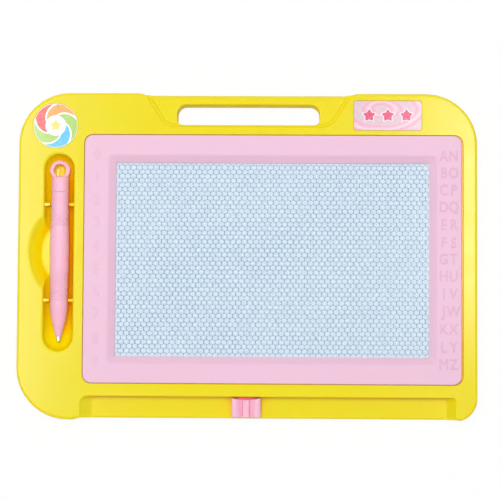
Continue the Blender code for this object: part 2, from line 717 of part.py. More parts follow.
def build_front_shell(material):
    shell = loft("front_shell", [(board_outline(), PARTING_Z)]
                 + edge_rings(board_outline, FACE_Z, EDGE_RADIUS))
    above = FACE_Z + OVERRUN
    bezel_radii = (BEZEL_CORNER_RADIUS,) * 4
    hollow = prism("hollow", board_outline(WALL), PARTING_Z - OVERRUN, ROOF_Z)
    cut(
        hollow,
        prism("shelf", rounded_frame(BEZEL, bezel_radii, grow=GAP + WALL), FLANGE_Z, above),
        loft("trough", tray_rings(WALL, above)),
        scoop_solid("scoop_wall", WALL, above),
        prism("handle_floor", handle_outline(HANDLE_FLANK_SLOPE + WALL), HANDLE_Z - WALL, above),
        prism("slot_wall", slot_outline(WALL), PARTING_Z, above),
        loft("track_floor", [(track_outline(1.0, WALL), TRACK_Z - WALL),
                             (track_outline(0.0, WALL), FACE_Z), (track_outline(0.0, WALL), above)]),
    )
    for x, y in screw_places():
        cut(hollow, cylinder("boss", x, y, SHELL_BOSS_RADIUS, SHELL_BOSS_Z, above))
    cut(shell, hollow)

    fence = prism("fence", rounded_frame(PANEL, (PANEL_CORNER_RADIUS,) * 4, grow=GAP + PANEL_FENCE),
                  BACKING_Z, FLANGE_Z + FLANGE / 2)
    cut(fence, prism("room", rounded_frame(PANEL, (PANEL_CORNER_RADIUS,) * 4, grow=GAP),
                     BACKING_Z - OVERRUN, FLANGE_TOP_Z))
    add(shell, fence)

    cut(
        shell,
        prism("bezel_seat", rounded_frame(BEZEL, bezel_radii, grow=GAP), FLANGE_TOP_Z, above),
        prism("opening", rounded_frame(OPENING, (WINDOW_CORNER_RADIUS,) * 4), BACKING_Z, above),
        tray_hollow(),
        scoop_solid("scoop", 0.0, above),
        handle_hollow(),
        slot_tool(PARTING_Z - OVERRUN, above, HANDLE_Z, True),
        track_hollow(),
        cylinder("sticker_seat", LEFT + ROUND_STICKER_FROM_LEFT, TOP - ROUND_STICKER_FROM_TOP,
                 ROUND_STICKER_RADIUS + GAP, STICKER_FLOOR_Z, above, STICKER_SEGMENTS),
        prism("label_seat", label_outline(GAP), STICKER_FLOOR_Z, above),
    )

    neck_half = NECK_WIDTH / 2 + GAP
    cut(shell, box("neck_slot", (TRAVEL_LEFT - neck_half, STEP_Y - OVERRUN, TRAVEL_RIGHT + neck_half,
                                 STEP_Y + WALL + OVERRUN), NECK_Z - GAP, NECK_TOP_Z + GAP))
    pilot_z = COUNTERBORE_DEPTH - GAP + SCREW_SHANK_LENGTH + PILOT_PAST_POINT
    for x, y in screw_places():
        cut(shell, cylinder("pilot", x, y, SCREW_SHANK_RADIUS + GAP, SHELL_BOSS_Z - OVERRUN, pilot_z))
    for place in clip_places():
        frame = clip_frame(place, CLIP_THICKNESS / 2 + GAP, CLIP_THICKNESS / 2 + GAP, GAP)
        cut(shell, box("clip_slot", frame, FLANGE_Z - OVERRUN, FLANGE_TOP_Z + OVERRUN))
    for x, y in peg_places():
        cut(shell, cylinder("peg_hole", x, y, PEG_RADIUS + GAP, FLANGE_Z - OVERRUN, FLANGE_TOP_Z + OVERRUN))

    for y in (TRAY_CENTRE_Y - NUB_SPACING / 2, TRAY_CENTRE_Y + NUB_SPACING / 2):
        add(shell, nub(-1, y), nub(1, y))
    return finish(shell, material)


# Back cover


def build_back_cover(material):
    rim = edge_rings(board_outline, 0.0, EDGE_RADIUS, up=False)[::-1]
    cover = loft("back_cover", rim + [(board_outline(), COVER_RIM)])
    add(cover, prism("lip", board_outline(WALL + GAP), COVER_FLOOR / 2, LIP_TOP_Z))
    cut(cover, prism("tray", board_outline(WALL + GAP + LIP_THICKNESS), COVER_FLOOR, LIP_TOP_Z + OVERRUN))

    rail_left = TRAVEL_LEFT - CARRIER_WIDTH / 2 - RAIL_PAST_TRAVEL
    rail_right = TRAVEL_RIGHT + CARRIER_WIDTH / 2 + RAIL_PAST_TRAVEL
    rail_ys = [middle(PANEL)[1]]
    for y in TONGUE_YS:
        offset = TONGUE / 2 + GAP + RAIL_THICKNESS / 2
        rail_ys += [y - offset, y + offset]
    for y in rail_ys:
        frame = (rail_left, y - RAIL_THICKNESS / 2, rail_right, y + RAIL_THICKNESS / 2)
        add(cover, box("rail", frame, COVER_FLOOR / 2, RAIL_TOP_Z))
    for x, y in screw_places():
        add(cover, cylinder("boss", x, y, COVER_BOSS_RADIUS, COVER_FLOOR / 2, COVER_BOSS_Z))
    add(cover, prism("collar", slot_outline(WALL), COVER_FLOOR / 2, COVER_RIM))

    cut(cover, slot_tool(-OVERRUN, COVER_RIM + OVERRUN, 0.0, False))
    for x, y in screw_places():
        cut(cover, cylinder("head_seat", x, y, SCREW_HEAD_RADIUS + GAP, -OVERRUN, COUNTERBORE_DEPTH))
        cut(cover, cylinder("hole", x, y, SCREW_SHANK_RADIUS + GAP, COUNTERBORE_DEPTH - OVERRUN,
                            COVER_BOSS_Z + OVERRUN))
    return finish(cover, material)


# Bezel


def build_bezel(material):
    radii = (BEZEL_CORNER_RADIUS,) * 4

    def outline(inset):
        return rounded_frame(BEZEL, radii, grow=-inset)

    bezel = loft("bezel", [(outline(0.0), BEZEL_UNDER_Z)]
                 + edge_rings(outline, BEZEL_FACE_Z, BEZEL_EDGE_RADIUS))
    window_radii = (WINDOW_CORNER_RADIUS,) * 4
    add(bezel, prism("lip", rounded_frame(WINDOW, window_radii, grow=BEZEL_LIP), FLANGE_Z,
                     BEZEL_UNDER_Z + BEZEL_THICKNESS / 2))
    cut(bezel, loft("view", [
        (rounded_frame(WINDOW, window_radii), FLANGE_Z - OVERRUN),
        (rounded_frame(WINDOW, window_radii), LIP_BOTTOM_Z),
        (rounded_frame(BEZEL_FLAT, (BEZEL_FLAT_CORNER_RADIUS,) * 4), BEZEL_FACE_Z),
        (rounded_frame(BEZEL_FLAT, (BEZEL_FLAT_CORNER_RADIUS,) * 4), BEZEL_FACE_Z + OVERRUN),
    ]))
    root_z = BEZEL_UNDER_Z + BEZEL_THICKNESS / 2
    barb_top = FLANGE_Z - GAP
    for place in clip_places():
        half = CLIP_THICKNESS / 2
        clip = box("clip", clip_frame(place, half, half), barb_top - CLIP_BARB_HEIGHT, root_z)
        add(clip, box("barb", clip_frame(place, 0.0, half + CLIP_BARB, -GAP),
                      barb_top - CLIP_BARB_HEIGHT + SMALLEST_RADIUS, barb_top))
        add(bezel, clip)
    for x, y in peg_places():
        add(bezel, cylinder("peg", x, y, PEG_RADIUS, FLANGE_Z, root_z))
    return finish(bezel, material)


# Drawing panel and stickers


def build_sheet(name, low_z, thickness, material):
    outline = rounded_frame(PANEL, (PANEL_CORNER_RADIUS,) * 4)
    return finish(prism(name, outline, low_z, low_z + thickness), material)


def label_outline(grow=0.0):
    right, top = RIGHT - LABEL_FROM_RIGHT, TOP - LABEL_FROM_TOP
    frame = (right - LABEL_LENGTH, top - LABEL_HEIGHT, right, top)
    return rounded_frame(frame, (LABEL_CORNER_RADIUS,) * 4, grow=grow)


def build_stickers(material):
    finish(cylinder("round_sticker", LEFT + ROUND_STICKER_FROM_LEFT, TOP - ROUND_STICKER_FROM_TOP,
                    ROUND_STICKER_RADIUS, STICKER_Z, FACE_Z, STICKER_SEGMENTS), material)
    finish(prism("corner_label", label_outline(), STICKER_Z, FACE_Z), material)


# Eraser


def build_knob(material):
    low, high = TRACK_Z + GAP, TRACK_Z + KNOB_RISE
    half = KNOB_WIDTH / 2
    profile = [(-half, low), (half, low)]
    for k in range(KNOB_STEPS + 1):
        x = half - KNOB_WIDTH * k / KNOB_STEPS
        dip = KNOB_VALLEY * (1 - math.cos(math.tau * x / KNOB_PITCH)) / 2
        profile.append((x, high - dip))
    near, far = TRACK_EDGE_Y + KNOB_EDGE_ROOM, STEP_Y - KNOB_STEP_ROOM
    knob = along("eraser_knob", profile, near, far)
    hollow_radius = (half ** 2 + KNOB_HOLLOW ** 2) / (2 * KNOB_HOLLOW)
    reach = math.degrees(math.asin((half + OVERRUN) / hollow_radius))
    curve = arc(0, far + hollow_radius - KNOB_HOLLOW, hollow_radius, 270 - reach, 270 + reach,
                SMALL_CORNER_STEPS)
    lid = far + OVERRUN
    outline = curve + [(half + OVERRUN, lid), (-half - OVERRUN, lid)]
    cut(knob, prism("hollow_face", outline, low - OVERRUN, high + OVERRUN))
    socket_half = NECK_WIDTH / 2 + GAP
    socket_end = far - NECK_GRIP - GAP
    cut(knob, box("socket", (-socket_half, socket_end, socket_half, lid), NECK_Z - GAP, NECK_TOP_Z + GAP))
    barb_half = BARB_WIDTH / 2 + GAP
    barb_end = far - NECK_GRIP + BARB_LENGTH
    cut(knob, box("barb_window", (-barb_half, socket_end, barb_half, barb_end + GAP), low - OVERRUN,
                  NECK_Z))
    return finish(knob, material)


def build_carrier(material):
    half = CARRIER_WIDTH / 2
    carrier = box("eraser_carrier", (-half, CARRIER_END_Y, half, CARRIER_TOP_Y), CARRIER_BOTTOM_Z,
                  CARRIER_TOP_Z)
    riser_end = CARRIER_END_Y + RISER_LENGTH
    neck_half = NECK_WIDTH / 2
    add(carrier, box("riser", (-neck_half, CARRIER_END_Y, neck_half, riser_end),
                     CARRIER_BOTTOM_Z + CARRIER_DEPTH / 2, NECK_TOP_Z))
    neck_end = STEP_Y - KNOB_STEP_ROOM - NECK_GRIP
    neck = box("neck", (-neck_half, neck_end, neck_half, CARRIER_END_Y + RISER_LENGTH / 2), NECK_Z,
               NECK_TOP_Z - SMALLEST_RADIUS)
    barb_half = BARB_WIDTH / 2
    barb = across("barb", [
        (neck_end, NECK_Z + NECK_THICKNESS / 2), (neck_end, NECK_Z),
        (neck_end + BARB_LENGTH, NECK_Z - BARB_RISE), (neck_end + BARB_LENGTH, NECK_Z + NECK_THICKNESS / 2),
    ], -barb_half, barb_half)
    add(neck, barb)
    add(carrier, neck)
    for y in TONGUE_YS:
        frame = (-half + SMALLEST_RADIUS, y - TONGUE / 2, half - SMALLEST_RADIUS, y + TONGUE / 2)
        add(carrier, box("tongue", frame, COVER_FLOOR + TONGUE_FLOOR_ROOM,
                         CARRIER_BOTTOM_Z + CARRIER_DEPTH / 2))
    cut(carrier, box("magnet_seat", grown(MAGNET, GAP), MAGNET_TOP_Z - MAGNET_THICKNESS - GAP,
                     CARRIER_TOP_Z + OVERRUN))
    return finish(carrier, material)


def build_magnet(material):
    return finish(box("eraser_magnet", MAGNET, MAGNET_TOP_Z - MAGNET_THICKNESS, MAGNET_TOP_Z), material)


# Screws


def build_screws(material):
    """Eight alike, heads down in the cover; each shares one mesh."""
    seat = COUNTERBORE_DEPTH - GAP
    head = seat - SCREW_HEAD_HEIGHT
    profile = [
        (0, head), (SCREW_HEAD_RADIUS * SCREW_FACE_SHARE, head),
        (SCREW_HEAD_RADIUS, head + SCREW_HEAD_CROWN), (SCREW_HEAD_RADIUS, seat), (SCREW_SHANK_RADIUS, seat),
        (SCREW_SHANK_RADIUS, seat + SCREW_SHANK_LENGTH - SCREW_POINT), (0, seat + SCREW_SHANK_LENGTH),
    ]
    first = finish(turned("cover_screw_1", profile, SCREW_SEGMENTS), material)
    for number, (x, y) in enumerate(screw_places(), 1):
        screw = first
        if number > 1:
            screw = bpy.data.objects.new(f"cover_screw_{number}", first.data)
            bpy.context.scene.collection.objects.link(screw)
        screw.location = (x, y, 0)


# Pen, turned round Z with its ring's far edge at the origin and its tip at minus its length


def lay_down(obj):
    """Puts a pen piece in the tray: its Z becomes the board's Y."""
    obj.data.transform(Matrix.Rotation(math.radians(-90), 4, "X"))
    obj.location = (TRAY_X, PEN_TOP_Y, PEN_Z)
    return obj


def build_barrel(material):
    nose = -PEN_LENGTH + PEN_TIP_OUT
    tip_bore = PEN_TIP_RADIUS + GAP
    bore_end = nose + PEN_TIP_IN + GAP
    profile = [(PEN_VENT_RADIUS, bore_end), (tip_bore, bore_end), (tip_bore, nose)]
    profile += [(radius, -reach) for radius, reach in reversed(barrel_rings())]
    profile += [
        (PEN_BORE_RADIUS, -PEN_SEAM), (PEN_BORE_RADIUS, bore_end + PEN_BORE_CONE + PEN_VENT_LENGTH),
        (PEN_VENT_RADIUS, bore_end + PEN_VENT_LENGTH),
    ]
    return finish(lay_down(turned("pen_barrel", profile, PEN_SEGMENTS)), material)


def build_tail_cap(material):
    seam = -PEN_SEAM + GAP
    cap_radius = barrel_rings()[0][0]
    spigot = PEN_BORE_RADIUS - GAP
    profile = [
        (0, seam - PEN_SPIGOT), (spigot, seam - PEN_SPIGOT), (spigot, seam), (cap_radius, seam),
        (cap_radius, -PEN_CAP_END - PEN_CAP_EDGE), (cap_radius - PEN_CAP_EDGE, -PEN_CAP_END),
        (0, -PEN_CAP_END),
    ]
    cap = turned("pen_tail_cap", profile, PEN_SEGMENTS)
    half, edge = PEN_RING_THICKNESS / 2, PEN_RING_EDGE
    ring = turned("ring", [
        (0, -half), (PEN_RING_RADIUS - edge, -half), (PEN_RING_RADIUS, edge - half),
        (PEN_RING_RADIUS, half - edge), (PEN_RING_RADIUS - edge, half), (0, half),
    ], PEN_SEGMENTS)
    hole = cylinder("hole", 0, 0, PEN_RING_HOLE, -half - OVERRUN, half + OVERRUN, PEN_SEGMENTS)
    cut(ring, hole)
    ring.data.transform(Matrix.Translation((0, 0, -PEN_RING_RADIUS))
                        @ Matrix.Rotation(math.radians(90), 4, "X"))
    add(cap, ring)
    return finish(lay_down(cap), material)


def build_tip(material):
    tip, root = -PEN_LENGTH, -PEN_LENGTH + PEN_TIP_OUT + PEN_TIP_IN
    profile = [
        (0, tip), (PEN_TIP_RADIUS - PEN_TIP_EDGE, tip), (PEN_TIP_RADIUS, tip + PEN_TIP_EDGE),
        (PEN_TIP_RADIUS, root), (0, root),
    ]
    return finish(lay_down(turned("pen_tip_magnet", profile, PEN_SEGMENTS)), material)


def empty(name, place):
    obj = bpy.data.objects.new(name, None)
    obj.location = place
    bpy.context.scene.collection.objects.link(obj)
    return obj


def build():
    for obj in list(bpy.data.objects):
        bpy.data.objects.remove(obj)

    yellow = surface("yellow plastic", (0.91, 0.80, 0.05), 0.35)
    pink = surface("pink plastic", (0.90, 0.56, 0.74), 0.38)
    pale_blue = surface("honeycomb", (0.66, 0.80, 0.92), 0.5)
    clear = surface("film", (0.85, 0.92, 0.96), 0.2)
    dark = surface("magnet rubber", (0.05, 0.045, 0.04), 0.8)
    coral = surface("carrier plastic", (0.86, 0.30, 0.34), 0.5)
    steel = surface("zinc steel", (0.62, 0.62, 0.64), 0.35, 1.0)
    paper = surface("gloss paper", (0.93, 0.88, 0.92), 0.25)

    build_front_shell(yellow)
    build_back_cover(yellow)
    build_bezel(pink)
    build_sheet("backing_film", BACKING_Z, FILM, clear)
    build_sheet("honeycomb_core", HONEYCOMB_Z, HONEYCOMB, pale_blue)
    build_sheet("front_film", FRONT_FILM_Z, FILM, clear)
    build_stickers(paper)
    build_screws(steel)

    eraser = empty("eraser_slide", (0, (STEP_Y + TRACK_EDGE_Y) / 2, TRACK_Z))
    pen = empty("pen_lift", (TRAY_X, TRAY_CENTRE_Y, PEN_Z))
    moving = (
        (build_knob(pink), eraser), (build_carrier(coral), eraser), (build_magnet(dark), eraser),
        (build_barrel(pink), pen), (build_tail_cap(pink), pen), (build_tip(steel), pen),
    )
    bpy.context.view_layer.update()
    for obj, parent in moving:
        hold(obj, parent)


build()
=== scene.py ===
import math

import bmesh
import bpy
from mathutils import Euler, Matrix, Vector


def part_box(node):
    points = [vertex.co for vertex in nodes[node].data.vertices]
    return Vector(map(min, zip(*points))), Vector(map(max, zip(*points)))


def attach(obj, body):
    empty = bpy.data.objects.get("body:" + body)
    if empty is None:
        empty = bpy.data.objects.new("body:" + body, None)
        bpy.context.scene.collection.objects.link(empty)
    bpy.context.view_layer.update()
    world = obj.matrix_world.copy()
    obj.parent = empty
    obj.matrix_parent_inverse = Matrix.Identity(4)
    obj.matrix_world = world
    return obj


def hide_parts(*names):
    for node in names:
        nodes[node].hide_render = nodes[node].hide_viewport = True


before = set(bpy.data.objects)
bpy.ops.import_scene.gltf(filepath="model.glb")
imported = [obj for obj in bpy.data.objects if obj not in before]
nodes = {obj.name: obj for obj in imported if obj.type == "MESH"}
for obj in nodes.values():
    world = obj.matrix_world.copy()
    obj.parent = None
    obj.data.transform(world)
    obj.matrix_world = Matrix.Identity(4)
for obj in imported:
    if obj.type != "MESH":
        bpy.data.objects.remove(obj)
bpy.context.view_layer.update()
scene = bpy.context.scene
mm = 0.001               # pieces are shaped in millimetres and scaled once, when they are finished
past = 1.0               # how far a cutting shape runs past what it cuts
gap = 0.3                # between pieces that touch
print("frame loaded:", len(nodes), "nodes")


# Shaping

def boxOf(node):
    # lowest and highest corner of a node, in millimetres
    low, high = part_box(node)
    return low / mm, high / mm


def roundedFace(bm, corners, z, segments=8):
    # a flat face through corners (x, y, radius), each one rounded; segments is for a quarter turn
    others = set(bm.faces)
    points = [bm.verts.new((x, y, z)) for x, y, radius in corners]
    bm.faces.new(points)
    places = [Vector((x, y)) for x, y, radius in corners]
    for k, point in enumerate(points):
        radius = corners[k][2]
        if radius:
            before = places[k - 1] - places[k]
            after = places[(k + 1) % len(places)] - places[k]
            between = before.angle(after)
            share = (math.pi - between) / math.radians(90)
            bmesh.ops.bevel(bm, geom=[point], offset=radius / math.tan(between / 2), offset_type="OFFSET",
                            affect="VERTICES", segments=max(2, round(segments * share)), profile=0.5,
                            material=-1, clamp_overlap=False)
    face = next(f for f in bm.faces if f not in others)
    bmesh.ops.remove_doubles(bm, verts=face.verts, dist=0.002)
    face = next(f for f in bm.faces if f not in others)
    face.normal_update()
    return face


def levelled(face, z):
    # exactly flat, as the Boolean steps want it
    for vert in face.verts:
        vert.co.z = z
    return face


def lift(bm, face, z, grow=0.0):
    # carries a flat face up to z, with its outline moved outwards by grow on the way
    rise = z - face.verts[0].co.z
    if abs(grow) > 1e-5:
        bmesh.ops.inset_individual(bm, faces=[face], thickness=-grow, depth=rise, use_even_offset=True)
        return levelled(face, z)
    alone = all(edge.is_boundary for edge in face.edges)
    made = bmesh.ops.extrude_face_region(bm, geom=[face])["geom"]
    if not alone and face.is_valid:
        bmesh.ops.delete(bm, geom=[face], context="FACES_ONLY")
    face = next(item for item in made if isinstance(item, bmesh.types.BMFace))
    bmesh.ops.translate(bm, verts=face.verts, vec=(0, 0, rise))
    return levelled(face, z)


def climb(bm, face, steps):
    # a closed solid over a flat face; each step is a height and how far its outline lies outside the face
    outside = steps[0][1]
    if abs(outside) > 1e-5:
        face = lift(bm, face, steps[0][0], outside)
        bmesh.ops.delete(bm, geom=[f for f in bm.faces if f is not face], context="FACES")
    for z, grow in steps[1:]:
        face = lift(bm, face, z, grow - outside)
        outside = grow
    bmesh.ops.holes_fill(bm, edges=bm.edges, sides=0)
    return bm


def solid(corners, steps, segments=8):
    bm = bmesh.new()
    face = roundedFace(bm, corners, steps[0][0], segments)
    return climb(bm, face, steps)


def roundFace(bm, radius, segments, place=(0, 0, 0)):
    # a flat round face that looks up
    bmesh.ops.create_circle(bm, cap_ends=True, segments=segments, radius=radius,
                            matrix=Matrix.Translation(place))
    face = bm.faces[:][0]
    face.normal_update()
    if face.normal.z < 0:
        bmesh.ops.reverse_faces(bm, faces=[face])
    return face


def disc(x, y, radius, steps, segments=48):
    bm = bmesh.new()
    return climb(bm, roundFace(bm, radius, segments, (x, y, steps[0][0])), steps)


def prism(corners, low, high, out=0.0, segments=8):
    # straight up, its outline lying outside the corners by as much as out
    return solid(corners, [(low, out), (high, out)], segments)


def peg(x, y, radius, low, high, segments=24):
    return disc(x, y, radius, [(low, 0.0), (high, 0.0)], segments)


def loft(sections, segments=8):
    # a closed solid through rounded outlines, each (corners, height)
    bm = bmesh.new()
    faces = [roundedFace(bm, corners, z, segments) for corners, z in sections]
    loops = [list(face.edges) for face in faces]
    bmesh.ops.delete(bm, geom=faces[1:-1], context="FACES_ONLY")
    for low, high in zip(loops, loops[1:]):
        bmesh.ops.bridge_loops(bm, edges=low + high)
    return bm


def spun(profile, segments=48):
    # turned round Z from points of radius and height; ends on the axis, or closes to a ring
    bm = bmesh.new()
    verts = [bm.verts.new((radius, 0, height)) for radius, height in profile]
    edges = [bm.edges.new(pair) for pair in zip(verts, verts[1:])]
    if profile[0][0]:
        edges.append(bm.edges.new((verts[-1], verts[0])))
    bmesh.ops.spin(bm, geom=verts + edges, axis=(0, 0, 1), cent=(0, 0, 0), angle=math.tau,
                   steps=segments, use_merge=True)
    bmesh.ops.remove_doubles(bm, verts=bm.verts, dist=0.001)
    return bm


def bar(low, high):
    # a block between two corners
    bm = bmesh.new()
    bmesh.ops.create_cube(bm, size=1)
    size = Vector(high) - Vector(low)
    bmesh.ops.scale(bm, vec=size, verts=bm.verts)
    bmesh.ops.translate(bm, vec=Vector(low) + size / 2, verts=bm.verts)
    return bm


def soften(bm, edges, radius, segments):
    bmesh.ops.bevel(bm, geom=edges, offset=radius, affect="EDGES", segments=segments, profile=0.5,
                    material=-1)


def trim(bm, place, outward):
    # cuts off what lies on the outward side of a plane
    bmesh.ops.bisect_plane(bm, geom=bm.verts[:] + bm.edges[:] + bm.faces[:], dist=1e-4,
                           plane_co=place, plane_no=outward, clear_outer=True)


def wallsDown(bm, z):
    # straight walls from an open rim down to z; gives their lower edges
    made = bmesh.ops.extrude_edge_only(bm, edges=[e for e in bm.edges if e.is_boundary])["geom"]
    for item in made:
        if isinstance(item, bmesh.types.BMVert):
            item.co.z = z
    return [item for item in made if isinstance(item, bmesh.types.BMEdge)]


def quarter(count=5):
    # angles of a quarter turn, in count steps
    return [math.radians(90) * k / count for k in range(count + 1)]


def upTo(z, radius, outwards=-1, count=5):
    # steps of a rim that rounds over to a flat at z, inwards on a solid or outwards on a cutting shape
    return [(z - radius * (1 - math.sin(a)), outwards * radius * (1 - math.cos(a))) for a in quarter(count)]


def upFrom(z, radius):
    # steps of a rounding or a fillet that rises from a flat at z
    return [(z + radius * (1 - math.cos(a)), -radius * (1 - math.sin(a))) for a in quarter()]


def downTo(z, radius):
    # steps of a cutting shape that comes up through a flat at z and narrows over a rounded rim
    return [(z - past, radius)] + [(2 * z - height, out) for height, out in reversed(upTo(z, radius, 1))]


def moved(steps, grow):
    return [(z, outside + grow) for z, outside in steps]


def rectangle(low, high, radius, grow=0.0):
    # corners of a rounded rectangle, counterclockwise from bottom left
    radii = radius if isinstance(radius, tuple) else (radius,) * 4
    left, bottom, right, top = low[0] - grow, low[1] - grow, high[0] + grow, high[1] + grow
    places = ((left, bottom), (right, bottom), (right, top), (left, top))
    return [(x, y, max(r + grow, 0.05)) for (x, y), r in zip(places, radii)]


def cornerTurn(x, z, radius, start, count=4):
    # points of a quarter turn, clockwise from the angle start
    turns = [math.radians(start - 90 * k / count) for k in range(count + 1)]
    return [(x + radius * math.cos(a), z + radius * math.sin(a)) for a in turns]


def between(table, place, soft=False):
    # the value at a place from a table of places and values, in straight stretches or soft ones
    for (near, first), (far, second) in zip(table, table[1:]):
        if near <= place <= far:
            share = (place - near) / (far - near)
            if soft:
                share = (1 - math.cos(math.pi * share)) / 2
            return first + (second - first) * share
    return table[-1][1]


def objectOf(name, bm):
    bmesh.ops.recalc_face_normals(bm, faces=bm.faces)
    mesh = bpy.data.meshes.new(name)
    bm.to_mesh(mesh)
    bm.free()
    piece = bpy.data.objects.new(name, mesh)
    scene.collection.objects.link(piece)
    return piece


def applied(piece):
    # the piece's modifiers go into its mesh
    graph = bpy.context.evaluated_depsgraph_get()
    result = bpy.data.meshes.new_from_object(piece.evaluated_get(graph))
    before = piece.data
    piece.modifiers.clear()
    piece.data = result
    result.name = before.name
    bpy.data.meshes.remove(before)


def combine(piece, shapes, operation="DIFFERENCE"):
    for bm in shapes:
        tool = objectOf("tool", bm) if isinstance(bm, bmesh.types.BMesh) else bm
        step = piece.modifiers.new("step", "BOOLEAN")
        step.operation = operation
        step.solver = "MANIFOLD"
        step.object = tool
        applied(piece)
        bpy.data.objects.remove(tool)
    return piece


def settle(piece, material, body, slot, *replaced, sharp=32):
    # scaled to metres, shaded, given its finish and its place in the model
    piece.data.transform(Matrix.Scale(mm, 4))
    piece.data.materials.clear()
    piece.data.materials.append(material)
    piece.data.shade_smooth()
    piece.data.set_sharp_from_angle(angle=math.radians(sharp))
    even = piece.modifiers.new("even shading", "WEIGHTED_NORMAL")
    even.keep_sharp = True
    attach(piece, body)
    if replaced:
        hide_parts(*replaced)
    print("made", piece.name, len(piece.data.polygons), "faces")
    return piece


def dress(node, material):
    # a finish for a node that keeps its own mesh
    nodes[node].data.materials.clear()
    nodes[node].data.materials.append(material)


# Finishes

class Finish:
    # a material, or the world, whose nodes are added and joined in few words
    def __init__(self, name, world=False):
        self.owner = (bpy.data.worlds if world else bpy.data.materials).new(name)
        self.owner.use_nodes = True
        self.tree = self.owner.node_tree
        self.shader = next(n for n in self.tree.nodes if n.type in ("BSDF_PRINCIPLED", "BACKGROUND"))
        self.place = self.node("TexCoord").outputs["Object"]

    def join(self, socket, value):
        if isinstance(value, bpy.types.NodeSocket):
            self.tree.links.new(value, socket)
        elif isinstance(value, tuple) and len(value) == 3 and socket.type == "RGBA":
            socket.default_value = (*value, 1.0)
        else:
            socket.default_value = value

    def node(self, kind, settings=None, **inputs):
        made = self.tree.nodes.new("ShaderNode" + kind)
        for key, value in (settings or {}).items():
            setattr(made, key, value)
        for key, value in inputs.items():
            self.join(made.inputs[key.replace("_", " ")], value)
        return made

    def math(self, operation, first, second=0.0):
        made = self.node("Math", {"operation": operation})
        self.join(made.inputs[0], first)
        self.join(made.inputs[1], second)
        return made.outputs[0]

    def squares(self, x, y):
        return self.math("ADD", self.math("MULTIPLY", x, x), self.math("MULTIPLY", y, y))

    def parts(self, place):
        # its x, y and z
        return self.node("SeparateXYZ", Vector=place).outputs[:]

    def noise(self, scale, detail=2.0, roughness=0.5, stretch=(1, 1, 1)):
        at = self.node("Mapping", Vector=self.place, Scale=stretch).outputs[0]
        made = self.node("TexNoise", Vector=at, Scale=scale, Detail=detail, Roughness=roughness)
        return made.outputs["Fac"]

    def spread(self, value, fromLow, fromHigh, low, high):
        made = self.node("MapRange", Value=value)
        for k, number in enumerate((fromLow, fromHigh, low, high), 1):
            made.inputs[k].default_value = number
        return made.outputs[0]

    def mix(self, share, first, second):
        made = self.node("Mix", {"data_type": "RGBA"}, Factor=share)
        self.join(made.inputs[6], first)
        self.join(made.inputs[7], second)
        return made.outputs[2]

    def tint(self, base, marks, low, high, share, colour):
        # the colour comes in, up to the given share, as the marks go from low to high
        return self.mix(self.spread(marks, low, high, 0.0, share), base, colour)

    def ramp(self, share, steps, kind="LINEAR"):
        made = self.node("ValToRGB", Fac=share)
        made.color_ramp.interpolation = kind
        elements = made.color_ramp.elements
        while len(elements) < len(steps):
            elements.new(0.5)
        for element, (position, colour) in zip(elements, steps):
            element.position = position
            element.color = (*colour, 1.0)
        return made.outputs[0]

    def bump(self, height, distance):
        return self.node("Bump", Height=height, Distance=distance * mm).outputs[0]

    def surface(self, **inputs):
        for key, value in inputs.items():
            self.join(self.shader.inputs[key.replace("_", " ")], value)
        return self.owner


# each noise is a scale, a detail and a roughness, and may have a stretch
moulding = {
    "flow": (9.0, 3.0, 0.5, (1.0, 2.2, 1.0)), "flowReach": (0.35, 0.7), "polish": (40.0, 3.0, 0.6),
    "grain": (1400.0, 2.0, 0.6), "grainShare": 0.35, "orangePeel": (160.0, 1.0, 0.4), "peelShare": 0.65,
    "height": 0.01, "steepReach": (0.2, 0.6), "samples": 8, "ior": 1.39,
}


